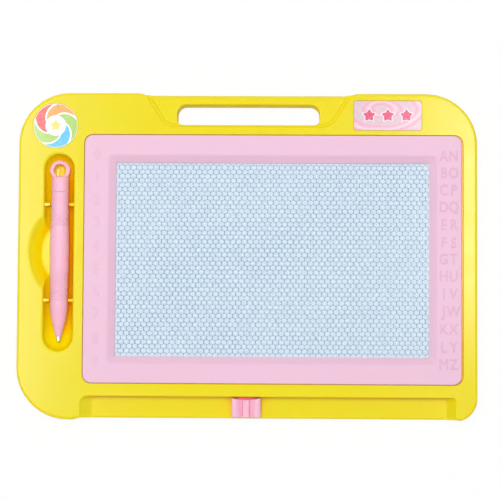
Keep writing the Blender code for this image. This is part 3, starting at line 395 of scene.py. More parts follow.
def mouldedPlastic(name, settings):
    # moulded plastic with painted shade: a deeper colour mixed in where ambient occlusion finds hollows, with
    # faint flow marks and a fine grain
    finish = Finish(name)
    quality = {"samples": moulding["samples"], "only_local": settings["alone"]}
    # painted shade: ambient occlusion sets how much of the deep colour comes in
    hollow = finish.node("AmbientOcclusion", quality, Distance=settings["paintedShadeReach"] * mm).outputs["AO"]
    share = finish.spread(hollow, *settings["hollow"], 1.0, 0.0)
    base = settings["colour"]
    if "pit" in settings:
        # painted shade: the walls of the pen's tray and scoop are painted golden, and the deep painted shade
        # is weaker on the tray's left side and full, orange, on its right side beside the pen
        pit = settings["pit"]
        x, y, z = finish.parts(finish.place)
        sunk = finish.spread(z, pit["fullZ"] * mm, pit["topZ"] * mm, 1.0, 0.0)
        sunk = finish.math("MULTIPLY", sunk, finish.math("GREATER_THAN", z, pit["lowZ"] * mm))
        off = finish.math("ABSOLUTE", finish.math("SUBTRACT", x, pit["x"] * mm))
        inPit = finish.math("LESS_THAN", off, pit["half"] * mm)
        base = finish.mix(finish.math("MULTIPLY", sunk, inPit), base, pit["gold"])
        side = finish.spread(x, pit["goldX"] * mm, pit["orangeX"] * mm, pit["goldShare"], 1.0)
        share = finish.math("MULTIPLY", share, side)
        # the painted shade leaves out the lower edge, so it takes none from what the board lies on
        foot = finish.spread(z, pit["footZ"][0] * mm, pit["footZ"][1] * mm, 0.0, 1.0)
        share = finish.math("MULTIPLY", share, foot)
    base = finish.mix(share, base, settings["deep"])
    flow = finish.noise(*moulding["flow"])
    base = finish.tint(base, flow, *moulding["flowReach"], settings["flow"], settings["pale"])
    grain = finish.math("MULTIPLY", finish.noise(*moulding["grain"]), moulding["grainShare"])
    peel = finish.math("MULTIPLY", finish.noise(*moulding["orangePeel"]), moulding["peelShare"])
    roughness = finish.spread(finish.noise(*moulding["polish"]), 0.3, 0.7, *settings["roughness"])
    # the steep walls come less polished out of the mould
    facing = finish.parts(finish.node("NewGeometry").outputs["Normal"])[2]
    steep = finish.spread(finish.math("ABSOLUTE", facing), *moulding["steepReach"], settings["steep"], 0.0)
    return finish.surface(
        Base_Color=base, Roughness=finish.math("MAXIMUM", roughness, steep),
        Normal=finish.bump(finish.math("ADD", grain, peel), moulding["height"]), IOR=moulding["ior"],
        Subsurface_Weight=settings["subsurface"], Subsurface_Radius=settings["radius"],
        Subsurface_Scale=settings["depth"] * mm,
    )


# deep is the colour of painted shade, mixed in where ambient occlusion within paintedShadeReach finds a
# hollow or a piece close by; the yellow's takes in the pen, so the pen's shadow in the tray is painted orange
yellow = {
    "colour": (0.905, 0.72, 0.0005), "deep": (1.0, 0.30, 0.0), "alone": False, "paintedShadeReach": 8.0,
    "hollow": (0.0, 0.70),
    "pit": {"x": -136.0, "half": 19.0, "lowZ": 6.9, "fullZ": 17.0, "topZ": 19.8, "footZ": (2.0, 6.0),
            "gold": (1.0, 0.78, 0.0), "goldX": -135.0, "orangeX": -127.0, "goldShare": 0.3},
    "flow": 0.06, "pale": (0.92, 0.76, 0.01), "roughness": (0.17, 0.24), "steep": 0.6,
    "subsurface": 0.45, "radius": (1.0, 0.35, 0.02), "depth": 5.0,
}
pink = {
    "colour": (0.83, 0.54, 0.685), "deep": (0.82, 0.49, 0.65), "alone": True, "paintedShadeReach": 8.0,
    "hollow": (0.05, 0.45), "flow": 0.10, "pale": (0.87, 0.61, 0.74), "roughness": (0.40, 0.50), "steep": 0.5,
    "subsurface": 0.2, "radius": (1.0, 0.5, 0.6), "depth": 1.5,
}
# the digits and letters are the bezel's own pink, moulded with it; their deeper colours are painted shade for
# the low relief
digitShadedPink = {**pink, "colour": (0.81, 0.505, 0.655), "deep": (0.78, 0.42, 0.58), "subsurface": 0.0}
letterShadedPink = {**pink, "colour": (0.77, 0.44, 0.61), "deep": (0.74, 0.37, 0.54), "subsurface": 0.0}
penPink = {
    "colour": (0.95, 0.50, 0.65), "deep": (0.97, 0.30, 0.42), "alone": True, "paintedShadeReach": 6.0,
    "hollow": (0.2, 0.9), "flow": 0.12, "pale": (0.98, 0.66, 0.76), "roughness": (0.24, 0.34), "steep": 0.3,
    "subsurface": 0.5, "radius": (1.0, 0.3, 0.4), "depth": 3.0,
}
# the knob's painted shade is a deep red in its valleys and in the narrow gap at its hollowed top end
knobPink = {**penPink, "colour": (0.93, 0.51, 0.66), "deep": (0.84, 0.26, 0.40), "paintedShadeReach": 2.5,
            "hollow": (0.55, 0.98)}

yellowPlastic = mouldedPlastic("yellow moulded plastic", yellow)
pinkPlastic = mouldedPlastic("pink bezel plastic", pink)
penPlastic = mouldedPlastic("pink pen plastic", penPink)
knobPlastic = mouldedPlastic("pink knob plastic", knobPink)
digitShadedPlastic = mouldedPlastic("digit relief plastic with painted shade", digitShadedPink)
letterShadedPlastic = mouldedPlastic("letter relief plastic with painted shade", letterShadedPink)

window = {"low": (-91.8, -70.1), "high": (127.1, 65.3), "radius": 1.0}    # the bezel's opening over the cells

cellLook = {
    # colours along cellShade, from the walls' own dark blue to the milky cells, lightest at the painted
    # highlight of each cell's well
    "shades": ((0.0, (0.03, 0.10, 0.20)), (0.3, (0.22, 0.36, 0.50)), (0.6, (0.64, 0.77, 0.88)),
               (0.85, (0.74, 0.865, 0.965)), (1.0, (0.66, 0.79, 0.90))),
    # a noise, where its colour starts and is full, how strong that gets, and the colour
    "marks": {"clouds": ((14.0, 4.0, 0.6), 0.4, 0.75, 0.22, (0.60, 0.73, 0.86)),
              "flecks": ((330.0, 1.0, 0.5), 0.5, 0.72, 0.45, (0.86, 0.93, 0.98)),
              "specks": ((900.0, 1.0, 0.5), 0.50, 0.62, 0.45, (0.38, 0.51, 0.66))},
    # rim paints the cells whiter along the bezel: painted light
    "paintedEdgeLightReach": (0.2, 2.0), "rimShare": 0.6, "rim": (0.90, 0.89, 0.93),
    "roughness": (0.5, 0.7), "height": 0.05,
    # x, y, turn, length, width and colour
    "strokes": ((20.4, -44.6, 100.0, 2.2, 1.2, (0.16, 0.26, 0.42)),
                (48.6, -57.0, -40.0, 3.4, 1.0, (0.10, 0.26, 0.30))),
    "strokeReach": (0.3, 1.4), "strokeShare": 0.8,
}


def cellPlastic():
    # milky cells with darker walls, a little uneven, with painted light and shade inside each cell and
    # painted light along the bezel, and what is left of two strokes of an old drawing
    finish = Finish("milky honeycomb cells")
    shade = finish.node("Attribute", {"attribute_name": "cellShade"}).outputs["Fac"]
    base = finish.ramp(shade, cellLook["shades"])
    marks = {}
    for name, (numbers, low, high, share, colour) in cellLook["marks"].items():
        marks[name] = finish.noise(*numbers)
        base = finish.tint(base, marks[name], low, high, share, colour)
    # along the bezel the cells are cut; there they are painted whiter, a painted highlight that also lifts
    # the shade under the bezel's lip
    inside = []
    for place, low, high in zip(finish.parts(finish.place), window["low"], window["high"]):
        off = finish.math("ABSOLUTE", finish.math("SUBTRACT", place, (high + low) / 2 * mm))
        inside.append(finish.math("SUBTRACT", (high - low) / 2 * mm, off))
    near, far = cellLook["paintedEdgeLightReach"]
    rim = finish.spread(finish.math("MINIMUM", *inside), near * mm, far * mm, cellLook["rimShare"], 0.0)
    base = finish.mix(rim, base, cellLook["rim"])
    for x, y, turn, length, width, colour in cellLook["strokes"]:
        at = finish.node("Mapping", {"vector_type": "TEXTURE"}, Vector=finish.place,
                         Location=(x * mm, y * mm, 0), Rotation=(0, 0, math.radians(turn)),
                         Scale=(length / 2 * mm, width / 2 * mm, 1)).outputs[0]
        along, across, up = finish.parts(at)
        off = finish.squares(along, across)
        stroke = finish.spread(off, *cellLook["strokeReach"], cellLook["strokeShare"], 0.0)
        base = finish.mix(stroke, base, colour)
    roughness = finish.spread(marks["flecks"], 0.3, 0.7, *cellLook["roughness"])
    return finish.surface(Base_Color=base, Roughness=roughness,
                          Normal=finish.bump(marks["flecks"], cellLook["height"]))


def clearFilm():
    finish = Finish("clear film")
    haze = finish.noise(25.0, 4.0, 0.6)
    scratches = finish.noise(60.0, 2.0, 0.5, (1.0, 12.0, 1.0))
    return finish.surface(
        Base_Color=finish.tint((0.80, 0.90, 0.97), haze, 0.35, 0.7, 1.0, (0.90, 0.95, 0.99)), Alpha=0.12,
        Roughness=finish.spread(scratches, 0.35, 0.65, 0.08, 0.22), Normal=finish.bump(haze, 0.15),
    )


def steelFinish():
    finish = Finish("zinc plated steel")
    marks = finish.noise(900.0, 3.0, 0.6)
    return finish.surface(
        Base_Color=finish.mix(marks, (0.66, 0.66, 0.67), (0.78, 0.77, 0.76)), Metallic=1.0,
        Roughness=finish.spread(marks, 0.3, 0.7, 0.22, 0.42), Normal=finish.bump(marks, 0.02),
    )


def plainFinish(name, colour, second, scale, roughness, height):
    finish = Finish(name)
    marks = finish.noise(scale, 4.0, 0.6)
    return finish.surface(
        Base_Color=finish.tint(colour, marks, 0.35, 0.65, 1.0, second),
        Roughness=finish.spread(marks, 0.3, 0.7, *roughness), Normal=finish.bump(marks, height),
    )


steel = steelFinish()
film = clearFilm()
cells = cellPlastic()
# the carrier is painted coral red: in the gap above the knob it stands for the knob's pink neck in shade, so
# its colour is painted shade
carrierRedPaintedShade = plainFinish("carrier plastic, red painted shade", (0.84, 0.13, 0.16), (0.85, 0.18, 0.21), 300.0,
                             (0.4, 0.55), 0.03)
magnetRubber = plainFinish("ferrite rubber", (0.045, 0.040, 0.036), (0.07, 0.06, 0.055), 900.0,
                           (0.7, 0.9), 0.05)
print("finishes made")


# Housing

shellLow, shellHigh = boxOf("front_shell")
bezelLow, bezelHigh = boxOf("bezel")
stickerLow, stickerHigh = boxOf("round_sticker")
stickerMiddle, stickerRadius = (stickerLow + stickerHigh) / 2, (stickerHigh.x - stickerLow.x) / 2
labelLow, labelHigh = boxOf("corner_label")
screwNodes = [f"cover_screw_{number}" for number in range(1, 9)]
screwPlaces = [(sum(boxOf(node), Vector()) / 2).xy for node in screwNodes]
housing = {
    "largeRadius": 36.0, "smallRadius": 16.5, "edgeRadius": 2.2, "setIn": 1.2, "wave": 4.0, "bendShare": 1.3,
    "handleWaves": (-71.35, 72.15), "trackWaves": (-115.9, 145.6), "turnSteps": 16, "beyondX": 170.0,
    "lobe": 2.7, "lobeRadius": 3.0, "lobeRoot": 1.5, "lobeFlat": 0.4,
}
wall = 2.2               # of the housing
faceZ, partingZ = shellHigh.z, shellLow.z
above = faceZ + past     # top of what is cut down into the face
handle = {
    "floorY": 92.4, "edgeY": 112.8, "feet": (-56.35, 57.15), "top": (-71.39, 72.19), "topY": 116.0,
    "footRadius": 9.0, "recess": 3.0, "edgeRadius": 3.0, "fillet": 1.0, "rim": 1.3, "lean": 1.8,
    "wallMore": 1.2, "slotLow": (-49.45, 92.0), "slotHigh": (50.25, 106.2), "slotRadii": (4.0, 4.0, 6.5, 6.5),
    "slotRim": 1.0,
}
track = {
    "left": -115.1, "right": 144.8, "stepY": -97.6, "edgeY": -112.8, "openY": -115.3, "depth": 8.0,
    "edgeRadius": 1.5, "leftSlope": 8.3, "rightSlope": 7.0, "leftRadius": 5.0, "rightRadius": 2.0,
    "footRadius": 1.2, "rim": 0.9, "neckZ": (13.6, 16.0), "neckX": (-102.3, 133.3),
    "slopeShares": ((0.0, 1.0), (0.04, 0.86), (0.16, 0.70), (0.5, 0.42), (0.82, 0.15), (0.93, 0.04),
                    (1.0, 0.0)),
}
tray = {
    "x": -131.4, "y": 2.2, "half": 58.45, "radius": 10.2, "floorZ": 7.0, "rim": 1.8,
    "turns": (5, 14, 24, 34, 44, 54, 63, 72, 81, 90),
}
nub = {
    "off": 33.5, "tipIn": 6.6, "rootOut": 1.1, "half": 1.5, "lowZ": 12.6, "highZ": 17.8,
    "tipShare": 0.45, "drop": 1.0, "edge": 0.25,
}
scoop = {
    "x": -115.1, "foot": 30.5, "radius": 37.8, "floorZ": 10.0, "fillet": 2.4, "turnSteps": 128,
    "rim": 1.4, "rimShares": ((0.5, -0.9), (0.18, -0.2), (0.0, 0.5)),
}
seats = {
    "bezelRadius": 6.2, "bezelZ": 18.0, "bezelRim": (0.25, 0.2), "seams": (0.32, 0.32, 1.15, 0.35),
    "shelfRadius": 6.0, "shelfZ": 16.4, "panelLow": (-96.3, -74.6), "panelHigh": (131.6, 69.8),
    "panelRadius": 1.0, "panelZ": 13.0, "stickerDepth": 0.6, "stickerSteps": 96, "labelRadius": 1.5,
    "room": 0.3,
}
post = {"radius": 3.3, "lowZ": 4.8, "pilot": 1.5, "pilotZ": (4.0, 9.6)}


def boardCorners(inner=False):
    # the board seen from the front; inner leaves out the short lobe beside the track
    left, bottom, right, top = shellLow.x, shellLow.y, shellHigh.x, shellHigh.y
    large, small, wave = housing["largeRadius"], housing["smallRadius"], housing["wave"]
    soft = wave * housing["bendShare"]    # radius of the bends in a wave
    trackLeft, trackRight = housing["trackWaves"]
    handleLeft, handleRight = housing["handleWaves"]
    inY, topY = bottom + housing["setIn"], top - housing["setIn"]
    lobeX = trackRight + housing["lobe"]
    turn = math.asin((lobeX - (right - small)) / small)
    lobeY = bottom + small * (1 - math.cos(turn))
    # a short straight edge stays between the lobe's round tip and the small corner, for the insets
    bend = turn + math.atan2(inY - lobeY, lobeX - trackRight)
    room = (right - lobeX) / math.cos(turn) - housing["lobeRadius"] * math.tan(bend / 2) - housing["lobeFlat"]
    lobe = [(trackRight, inY, housing["lobeRoot"]), (lobeX, lobeY, housing["lobeRadius"]),
            (right, lobeY + (right - lobeX) * math.tan(turn), room / math.tan(math.radians(45) - turn / 2))]
    if inner:
        lobe = [(right, inY, small - housing["setIn"])]
    return [
        (left, bottom, large), (trackLeft - wave, bottom, soft), (trackLeft, inY, soft), *lobe,
        (right, top, large), (handleRight + wave, top, soft), (handleRight, topY, soft),
        (handleLeft, topY, soft), (handleLeft - wave, top, soft), (left, top, large),
    ]


def trayShape(grow, rim=0.0):
    # the hollow that the pen lies in, or with grow the outside of its trough
    radius = tray["radius"] + grow
    first = math.radians(tray["turns"][0])
    centreZ = tray["floorZ"] + tray["radius"] * math.cos(first)
    start = radius * math.sin(first)
    corners = rectangle((tray["x"] - start, tray["y"] - tray["half"] - start),
                        (tray["x"] + start, tray["y"] + tray["half"] + start), start - 0.001)
    steps = []
    for degrees in tray["turns"]:
        angle = math.radians(degrees)
        steps.append((centreZ - radius * math.cos(angle), radius * math.sin(angle) - start))
    if rim:
        steps += moved(upTo(faceZ, rim, 1), radius - start)
    steps.append((above, steps[-1][1]))
    return solid(corners, steps, 10)


def scoopShape(grow, rim=0.0):
    # the finger scoop beside the pen: the part of a dish that lies left of the tray's middle
    foot, slope, floorZ = scoop["foot"] + grow, scoop["radius"] - scoop["foot"], scoop["floorZ"] - grow
    steps = [(floorZ, 0.0), (faceZ, slope), (above, slope)]
    if rim:
        steps = upFrom(floorZ, scoop["fillet"])[:-2]
        steps += [(faceZ - rim * down, slope + rim * out) for down, out in scoop["rimShares"]]
        steps.append((above, steps[-1][1]))
    bm = disc(scoop["x"], tray["y"], foot, steps, scoop["turnSteps"])
    trim(bm, (tray["x"] + 0.01, 0, 0), (1, 0, 0))
    bmesh.ops.holes_fill(bm, edges=bm.edges, sides=0)
    return bm


def keptEdge(innerY, edgeY, topZ, radius, lowZ):
    # what stays under a recess that runs out over the board's edge, with its outer edge rounded
    lowY, highY = sorted((innerY, edgeY))
    bm = bar((-housing["beyondX"], lowY, lowZ), (housing["beyondX"], highY, topZ))
    rim = [e for e in bm.edges if all(abs(v.co.y - edgeY) < 0.01 and v.co.z > topZ - 0.01 for v in e.verts)]
    soften(bm, rim, radius, 6)
    return bm


def handleCorners(grow=0.0):
    left, right = handle["feet"]
    topLeft, topRight = handle["top"]
    lean = math.hypot(1, (topRight - right) / (handle["topY"] - handle["floorY"]))
    out = grow * lean
    radius = handle["footRadius"] + grow
    return [(left - grow, handle["floorY"] - grow, radius), (right + grow, handle["floorY"] - grow, radius),
            (topRight + out, handle["topY"], 0.0), (topLeft - out, handle["topY"], 0.0)]


def handleShape():
    floorZ = faceZ - handle["recess"]
    lowZ = floorZ - handle["edgeRadius"] - past
    steps = [(lowZ, -handle["fillet"])] + upFrom(floorZ, handle["fillet"])
    steps += moved(upTo(faceZ, handle["rim"], 1), handle["lean"])
    steps.append((above, steps[-1][1]))
    shape = objectOf("handle recess", solid(handleCorners(), steps, 10))
    return combine(shape, [keptEdge(bezelHigh.y, handle["edgeY"], floorZ, handle["edgeRadius"], lowZ - past)])


def slotCorners(grow=0.0):
    return rectangle(handle["slotLow"], handle["slotHigh"], handle["slotRadii"], grow)


def trackCorners(share, grow=0.0):
    foot = track["footRadius"] * share + grow
    left = track["left"] + track["leftSlope"] * share - grow
    right = track["right"] - track["rightSlope"] * share + grow
    low, high = track["openY"], track["stepY"] + grow
    return [(left, low, 0.0), (right, low, 0.0), (right, high, foot + track["rightRadius"] * (1 - share)),
            (left, high, foot + track["leftRadius"] * (1 - share))]


def trackShape():
    floorZ = faceZ - track["depth"]
    lowZ = floorZ - track["edgeRadius"] - past
    rim = track["rim"]
    sections = [(trackCorners(1.0), lowZ)]
    for height, share in track["slopeShares"]:
        sections.append((trackCorners(share), floorZ + (track["depth"] - rim) * height))
    sections += [(trackCorners(0.0, out), z) for z, out in upTo(faceZ, rim, 1)[1:]]
    sections.append((trackCorners(0.0, rim), above))
    shape = objectOf("track hollow", loft(sections))
    return combine(shape, [keptEdge(bezelLow.y, track["edgeY"], floorZ, track["edgeRadius"], lowZ - past)])


def nubShape(side, y):
    # a small wedge that keeps the pen in its tray
    tip, root = tray["x"] + side * nub["tipIn"], tray["x"] + side * (tray["radius"] + nub["rootOut"])
    low, high = sorted((tip, root))
    bm = bar((low, y - nub["half"], nub["lowZ"]), (high, y + nub["half"], nub["highZ"]))
    for vert in bm.verts:
        if abs(vert.co.x - tip) < 0.01:
            vert.co.y = y + (vert.co.y - y) * nub["tipShare"]
            if vert.co.z > (nub["lowZ"] + nub["highZ"]) / 2:
                vert.co.z -= nub["drop"]
    soften(bm, bm.edges[:], nub["edge"], 2)
    return bm


def buildFrontShell():
    turnSteps = housing["turnSteps"]
    outside = solid(boardCorners(), [(partingZ, 0.0)] + upTo(faceZ, housing["edgeRadius"]), turnSteps)
    shell = objectOf("frontShell", outside)
    hollow = objectOf("hollow", prism(boardCorners(True), partingZ - past, faceZ - wall, -wall, turnSteps))
    # what the hollow leaves standing: a shelf under the bezel, the recesses' walls and the screws' posts
    combine(hollow, [
        prism(rectangle(bezelLow, bezelHigh, seats["shelfRadius"], gap + wall), seats["shelfZ"], above),
        trayShape(wall), scoopShape(wall),
        prism(handleCorners(wall + handle["wallMore"]), faceZ - handle["recess"] - wall, above),
        prism(slotCorners(wall), partingZ, above),
        loft([(trackCorners(1.0, wall), faceZ - track["depth"] - wall), (trackCorners(0.0, wall), faceZ),
              (trackCorners(0.0, wall), above)]),
        *[peg(x, y, post["radius"], post["lowZ"], above) for x, y in screwPlaces],
    ])
    seatZ = faceZ - seats["stickerDepth"]
    left, under, right, over = seats["seams"]
    down, out = seats["bezelRim"]
    bezelSeat = rectangle((bezelLow.x - left, bezelLow.y - under), (bezelHigh.x + right, bezelHigh.y + over),
                          seats["bezelRadius"])
    slotRim = handle["slotRim"]
    slotSteps = [(partingZ - past, 0.0), *upTo(faceZ - handle["recess"], slotRim, 1), (above, slotRim)]
    combine(shell, [
        hollow,
        solid(bezelSeat, [(seats["bezelZ"], 0.0), (faceZ - down, 0.0), (faceZ, out), (above, out)]),
        prism(rectangle(seats["panelLow"], seats["panelHigh"], seats["panelRadius"]), seats["panelZ"], above),
        trayShape(0.0, tray["rim"]), scoopShape(0.0, scoop["rim"]), handleShape(),
        solid(slotCorners(), slotSteps), trackShape(),
        peg(*stickerMiddle.xy, stickerRadius + seats["room"], seatZ, above, seats["stickerSteps"]),
        prism(rectangle(labelLow, labelHigh, seats["labelRadius"], seats["room"]), seatZ, above),
        bar((track["neckX"][0], track["stepY"] - past, track["neckZ"][0]),
            (track["neckX"][1], track["stepY"] + wall + past, track["neckZ"][1])),
        *[peg(x, y, post["pilot"], *post["pilotZ"], 16) for x, y in screwPlaces],
    ])
    for y in (tray["y"] - nub["off"], tray["y"] + nub["off"]):
        combine(shell, [nubShape(-1, y), nubShape(1, y)], "UNION")
    return settle(shell, yellowPlastic, "board", "shell_plastic", "front_shell")


buildFrontShell()


cover = {
    "rimZ": 3.7, "joinZ": 1.0, "lipZ": 6.2, "lip": 1.4, "floor": 2.0, "boss": 4.0, "bossZ": 4.5,
    "counterbore": 2.4, "head": 2.9, "headRim": 0.5, "hole": 1.5, "holeZ": 1.5,
    "railZ": 7.2, "railX": (-104.0, 135.0), "railHalf": 0.7, "tongueYs": (-90.4, 74.3), "railOff": 2.0,
}


def buildBackCover():
    joinZ, lipZ, rimZ, turnSteps = cover["joinZ"], cover["lipZ"], cover["rimZ"], housing["turnSteps"]
    outside = solid(boardCorners(), [(-rimZ, 0.0)] + upTo(0.0, housing["edgeRadius"]), turnSteps)
    bmesh.ops.scale(outside, vec=(1, 1, -1), verts=outside.verts)
    back = objectOf("backCover", outside)
    inner = wall + gap
    combine(back, [prism(boardCorners(True), joinZ, lipZ, -inner, turnSteps)], "UNION")
    combine(back, [prism(boardCorners(True), cover["floor"], lipZ + past, -inner - cover["lip"], turnSteps)])
    # one rail behind the panel's middle, and a pair for each of the carrier's tongues
    panelLow, panelHigh = boxOf("honeycomb_core")
    rails = [(panelLow.y + panelHigh.y) / 2]
    for y in cover["tongueYs"]:
        rails += [y - cover["railOff"], y + cover["railOff"]]
    (left, right), half = cover["railX"], cover["railHalf"]
    combine(back, [
        *[bar((left, y - half, joinZ), (right, y + half, cover["railZ"])) for y in rails],
        *[peg(x, y, cover["boss"], joinZ, cover["bossZ"], 32) for x, y in screwPlaces],
        prism(slotCorners(wall), joinZ, rimZ),
    ], "UNION")
    combine(back, [solid(slotCorners(), downTo(0.0, handle["slotRim"]) + [(rimZ + past, 0.0)])])
    for x, y in screwPlaces:
        head = disc(x, y, cover["head"], downTo(0.0, cover["headRim"]) + [(cover["counterbore"], 0.0)], 40)
        combine(back, [head, peg(x, y, cover["hole"], cover["holeZ"], cover["bossZ"] + past)])
    return settle(back, yellowPlastic, "board", "shell_plastic", "back_cover")


buildBackCover()


bezel = {
    "radius": 6.0, "edgeRadius": 0.8, "underZ": 18.3, "lip": 4.19, "lipZ": (16.4, 19.4),
    "bevelZ": 16.7, "flatLeft": -97.0, "flatRadius": 3.0,
    # how far up and out the bevel round the window has come
    "bevelShares": ((0.06, 0.02), (0.14, 0.10), (0.86, 0.84), (0.95, 0.97), (0.99, 1.10), (1.0, 1.24)),
}


def buildBezel():
    topZ, bevelZ = bezelHigh.z, bezel["bevelZ"]
    lowZ, highZ = bezel["lipZ"]
    steps = [(bezel["underZ"], 0.0)] + upTo(topZ, bezel["edgeRadius"])
    piece = objectOf("bezelFrame", solid(rectangle(bezelLow, bezelHigh, bezel["radius"]), steps, 12))

    def opening(radius, grow=0.0):
        return rectangle(window["low"], window["high"], radius, grow)

    combine(piece, [prism(opening(window["radius"], bezel["lip"]), lowZ, highZ)], "UNION")
    run = window["low"][0] - bezel["flatLeft"]
    sections = [(opening(window["radius"]), lowZ - past), (opening(window["radius"]), bevelZ)]
    for up, out in bezel["bevelShares"]:
        radius = window["radius"] + (bezel["flatRadius"] - window["radius"]) * out - run * out
        sections.append((opening(radius, run * out), bevelZ + (topZ - bevelZ) * up))
    sections.append((sections[-1][0], topZ + past))
    combine(piece, [loft(sections)])
    return settle(piece, pinkPlastic, "board", "pink_plastic", "bezel")


buildBezel()


# Digits down the left side of the bezel, letters down its right side

signs = {
    "proud": 0.28, "sunk": 0.18, "size": 10.4, "digitWeight": 0.15, "letterWeight": 0.2, "narrow": 0.84,
    "digitX": -104.8, "digitYs": (70.6, 54.6, 38.6, 23.3, 6.7, -9.3, -25.3, -40.6, -58.0, -74.0),
    "letterXs": (136.5, 143.4),
    "letterYs": (69.9, 58.1, 46.3, 34.5, 22.0, 9.5, -1.7, -13.5, -26.1, -37.9, -50.4, -62.9, -74.6),
}


def raisedSigns(name, marks, weight, finish):
    # each mark is (text, x, y); all become one mesh with its place in it
    bm = bmesh.new()
    for text, x, y in marks:
        curve = bpy.data.curves.new(text, "FONT")
        curve.body = text
        curve.size = signs["size"]
        curve.align_x, curve.align_y = "CENTER", "CENTER"
        curve.bevel_depth, curve.bevel_resolution = weight, 1
        curve.extrude = max((signs["proud"] + signs["sunk"]) / 2 - weight, 0.0)
        curve.resolution_u = 4
        holder = bpy.data.objects.new(text, curve)
        scene.collection.objects.link(holder)
        graph = bpy.context.evaluated_depsgraph_get()
        mesh = bpy.data.meshes.new_from_object(holder.evaluated_get(graph))
        middle = bezelHigh.z + (signs["proud"] - signs["sunk"]) / 2
        mesh.transform(Matrix.Translation((x, y, middle)) @ Matrix.Diagonal((signs["narrow"], 1, 1, 1)))
        bm.from_mesh(mesh)
        bpy.data.meshes.remove(mesh)
        bpy.data.objects.remove(holder)
        bpy.data.curves.remove(curve)
    bmesh.ops.remove_doubles(bm, verts=bm.verts, dist=0.001)
    return settle(objectOf(name, bm), finish, "board", "pink_plastic")


digitMarks = [(str(k), signs["digitX"], y) for k, y in enumerate(signs["digitYs"])]
raisedSigns("bezelDigits", digitMarks, signs["digitWeight"], digitShadedPlastic)
letterMarks = []
for k, y in enumerate(signs["letterYs"]):
    letterMarks += [(chr(ord(first) + k), x, y) for first, x in zip("AN", signs["letterXs"])]
raisedSigns("bezelLetters", letterMarks, signs["letterWeight"], letterShadedPlastic)


# Honeycomb

comb = {
    "pitch": 4.0, "row": 3.05, "wall": 0.4, "floorZ": 13.9, "topZ": 15.5, "slope": 0.22, "well": 0.35,
    "dome": 0.2, "past": 2.0, "cornerShare": 1.1,
    # shades of the walls left and right of a cell, of its corners and of its slanting walls, where the left
    # and right walls are painted darker as painted shade; the cell's well and middle take the lightest
    # colours, a painted highlight on its domed surface
    "wallShades": (0.0, 0.12, 0.3), "rimShades": (0.15, 0.25, 0.35), "wellShade": 0.85, "middleShade": 0.9,
}


def buildHoneycomb():
    pitch, row, edge = comb["pitch"], comb["row"], comb["wall"] / 2
    squeeze = row / (pitch * math.sqrt(3) / 2)
    bm = bmesh.new()
    shade = bm.verts.layers.float.new("cellShade")
    # every second point becomes a corner of a six-sided cell, the others are the middles of its sides
    face = roundFace(bm, pitch / 2, 12)

    def kindOf(vert, squeeze=1.0):
        # 0 in the middle of the left or right side, 1 at a corner, 2 in the middle of a slanting side
        angle = math.degrees(math.atan2(vert.co.y / squeeze, vert.co.x)) % 180
        corner = min(angle % 60, 60 - angle % 60) > 25
        return 1 if corner else 0 if min(angle, 180 - angle) < 5 else 2

    for vert in bm.verts:
        vert[shade] = comb["wallShades"][kindOf(vert)]
        if kindOf(vert) == 1:
            vert.co *= 2 / math.sqrt(3)
    bmesh.ops.scale(bm, vec=(1, squeeze, 1), verts=bm.verts)
    bmesh.ops.translate(bm, vec=(0, 0, comb["topZ"]), verts=bm.verts)
    bmesh.ops.inset_individual(bm, faces=[face], thickness=edge, use_even_offset=True)
    for vert in face.verts:
        kind = kindOf(vert, squeeze)
        vert[shade] = comb["rimShades"][kind]
        far = (pitch / 2 - edge) * (comb["cornerShare"] if kind == 1 else 1.0)
        flat = Vector((vert.co.x, vert.co.y / squeeze, 0)).normalized() * far
        vert.co.x, vert.co.y = flat.x, flat.y * squeeze
    bmesh.ops.inset_individual(bm, faces=[face], thickness=comb["slope"], depth=-comb["well"],
                               use_even_offset=True)
    for vert in face.verts:
        vert[shade] = comb["wellShade"]
    centre = bmesh.ops.poke(bm, faces=[face])["verts"][0]
    centre.co.z += comb["dome"]
    centre[shade] = comb["middleShade"]
    cell = objectOf("honeycomb", bm)
    low = Vector(window["low"]) - Vector((comb["past"],) * 2)
    high = Vector(window["high"]) + Vector((comb["past"],) * 2)
    columns = math.ceil((high.x - low.x) / pitch) + 2
    rows = math.ceil((high.y - low.y) / row / 2) + 2
    for count, step in ((2, (pitch / 2, row, 0)), (columns, (pitch, 0, 0)), (rows, (0, 2 * row, 0))):
        array = cell.modifiers.new("rows", "ARRAY")
        array.count = count
        array.use_relative_offset = False
        array.use_constant_offset = True
        array.constant_offset_displace = step
        applied(cell)
    cell.data.transform(Matrix.Translation((low.x - pitch, low.y - row, 0)))
    bm = bmesh.new()
    bm.from_mesh(cell.data)
    bmesh.ops.remove_doubles(bm, verts=bm.verts, dist=0.01)
    for place, outward in ((low, (-1, 0, 0)), (low, (0, -1, 0)), (high, (1, 0, 0)), (high, (0, 1, 0))):
        trim(bm, (place.x, place.y, 0), outward)
    bmesh.ops.contextual_create(bm, geom=wallsDown(bm, comb["floorZ"]))
    bmesh.ops.recalc_face_normals(bm, faces=bm.faces)
    bm.to_mesh(cell.data)
    bm.free()
    cell.name = "honeycombCells"
    return settle(cell, cells, "board", "honeycomb_plastic", "honeycomb_core", sharp=45)


buildHoneycomb()
dress("front_film", film)
dress("backing_film", film)


# Stickers

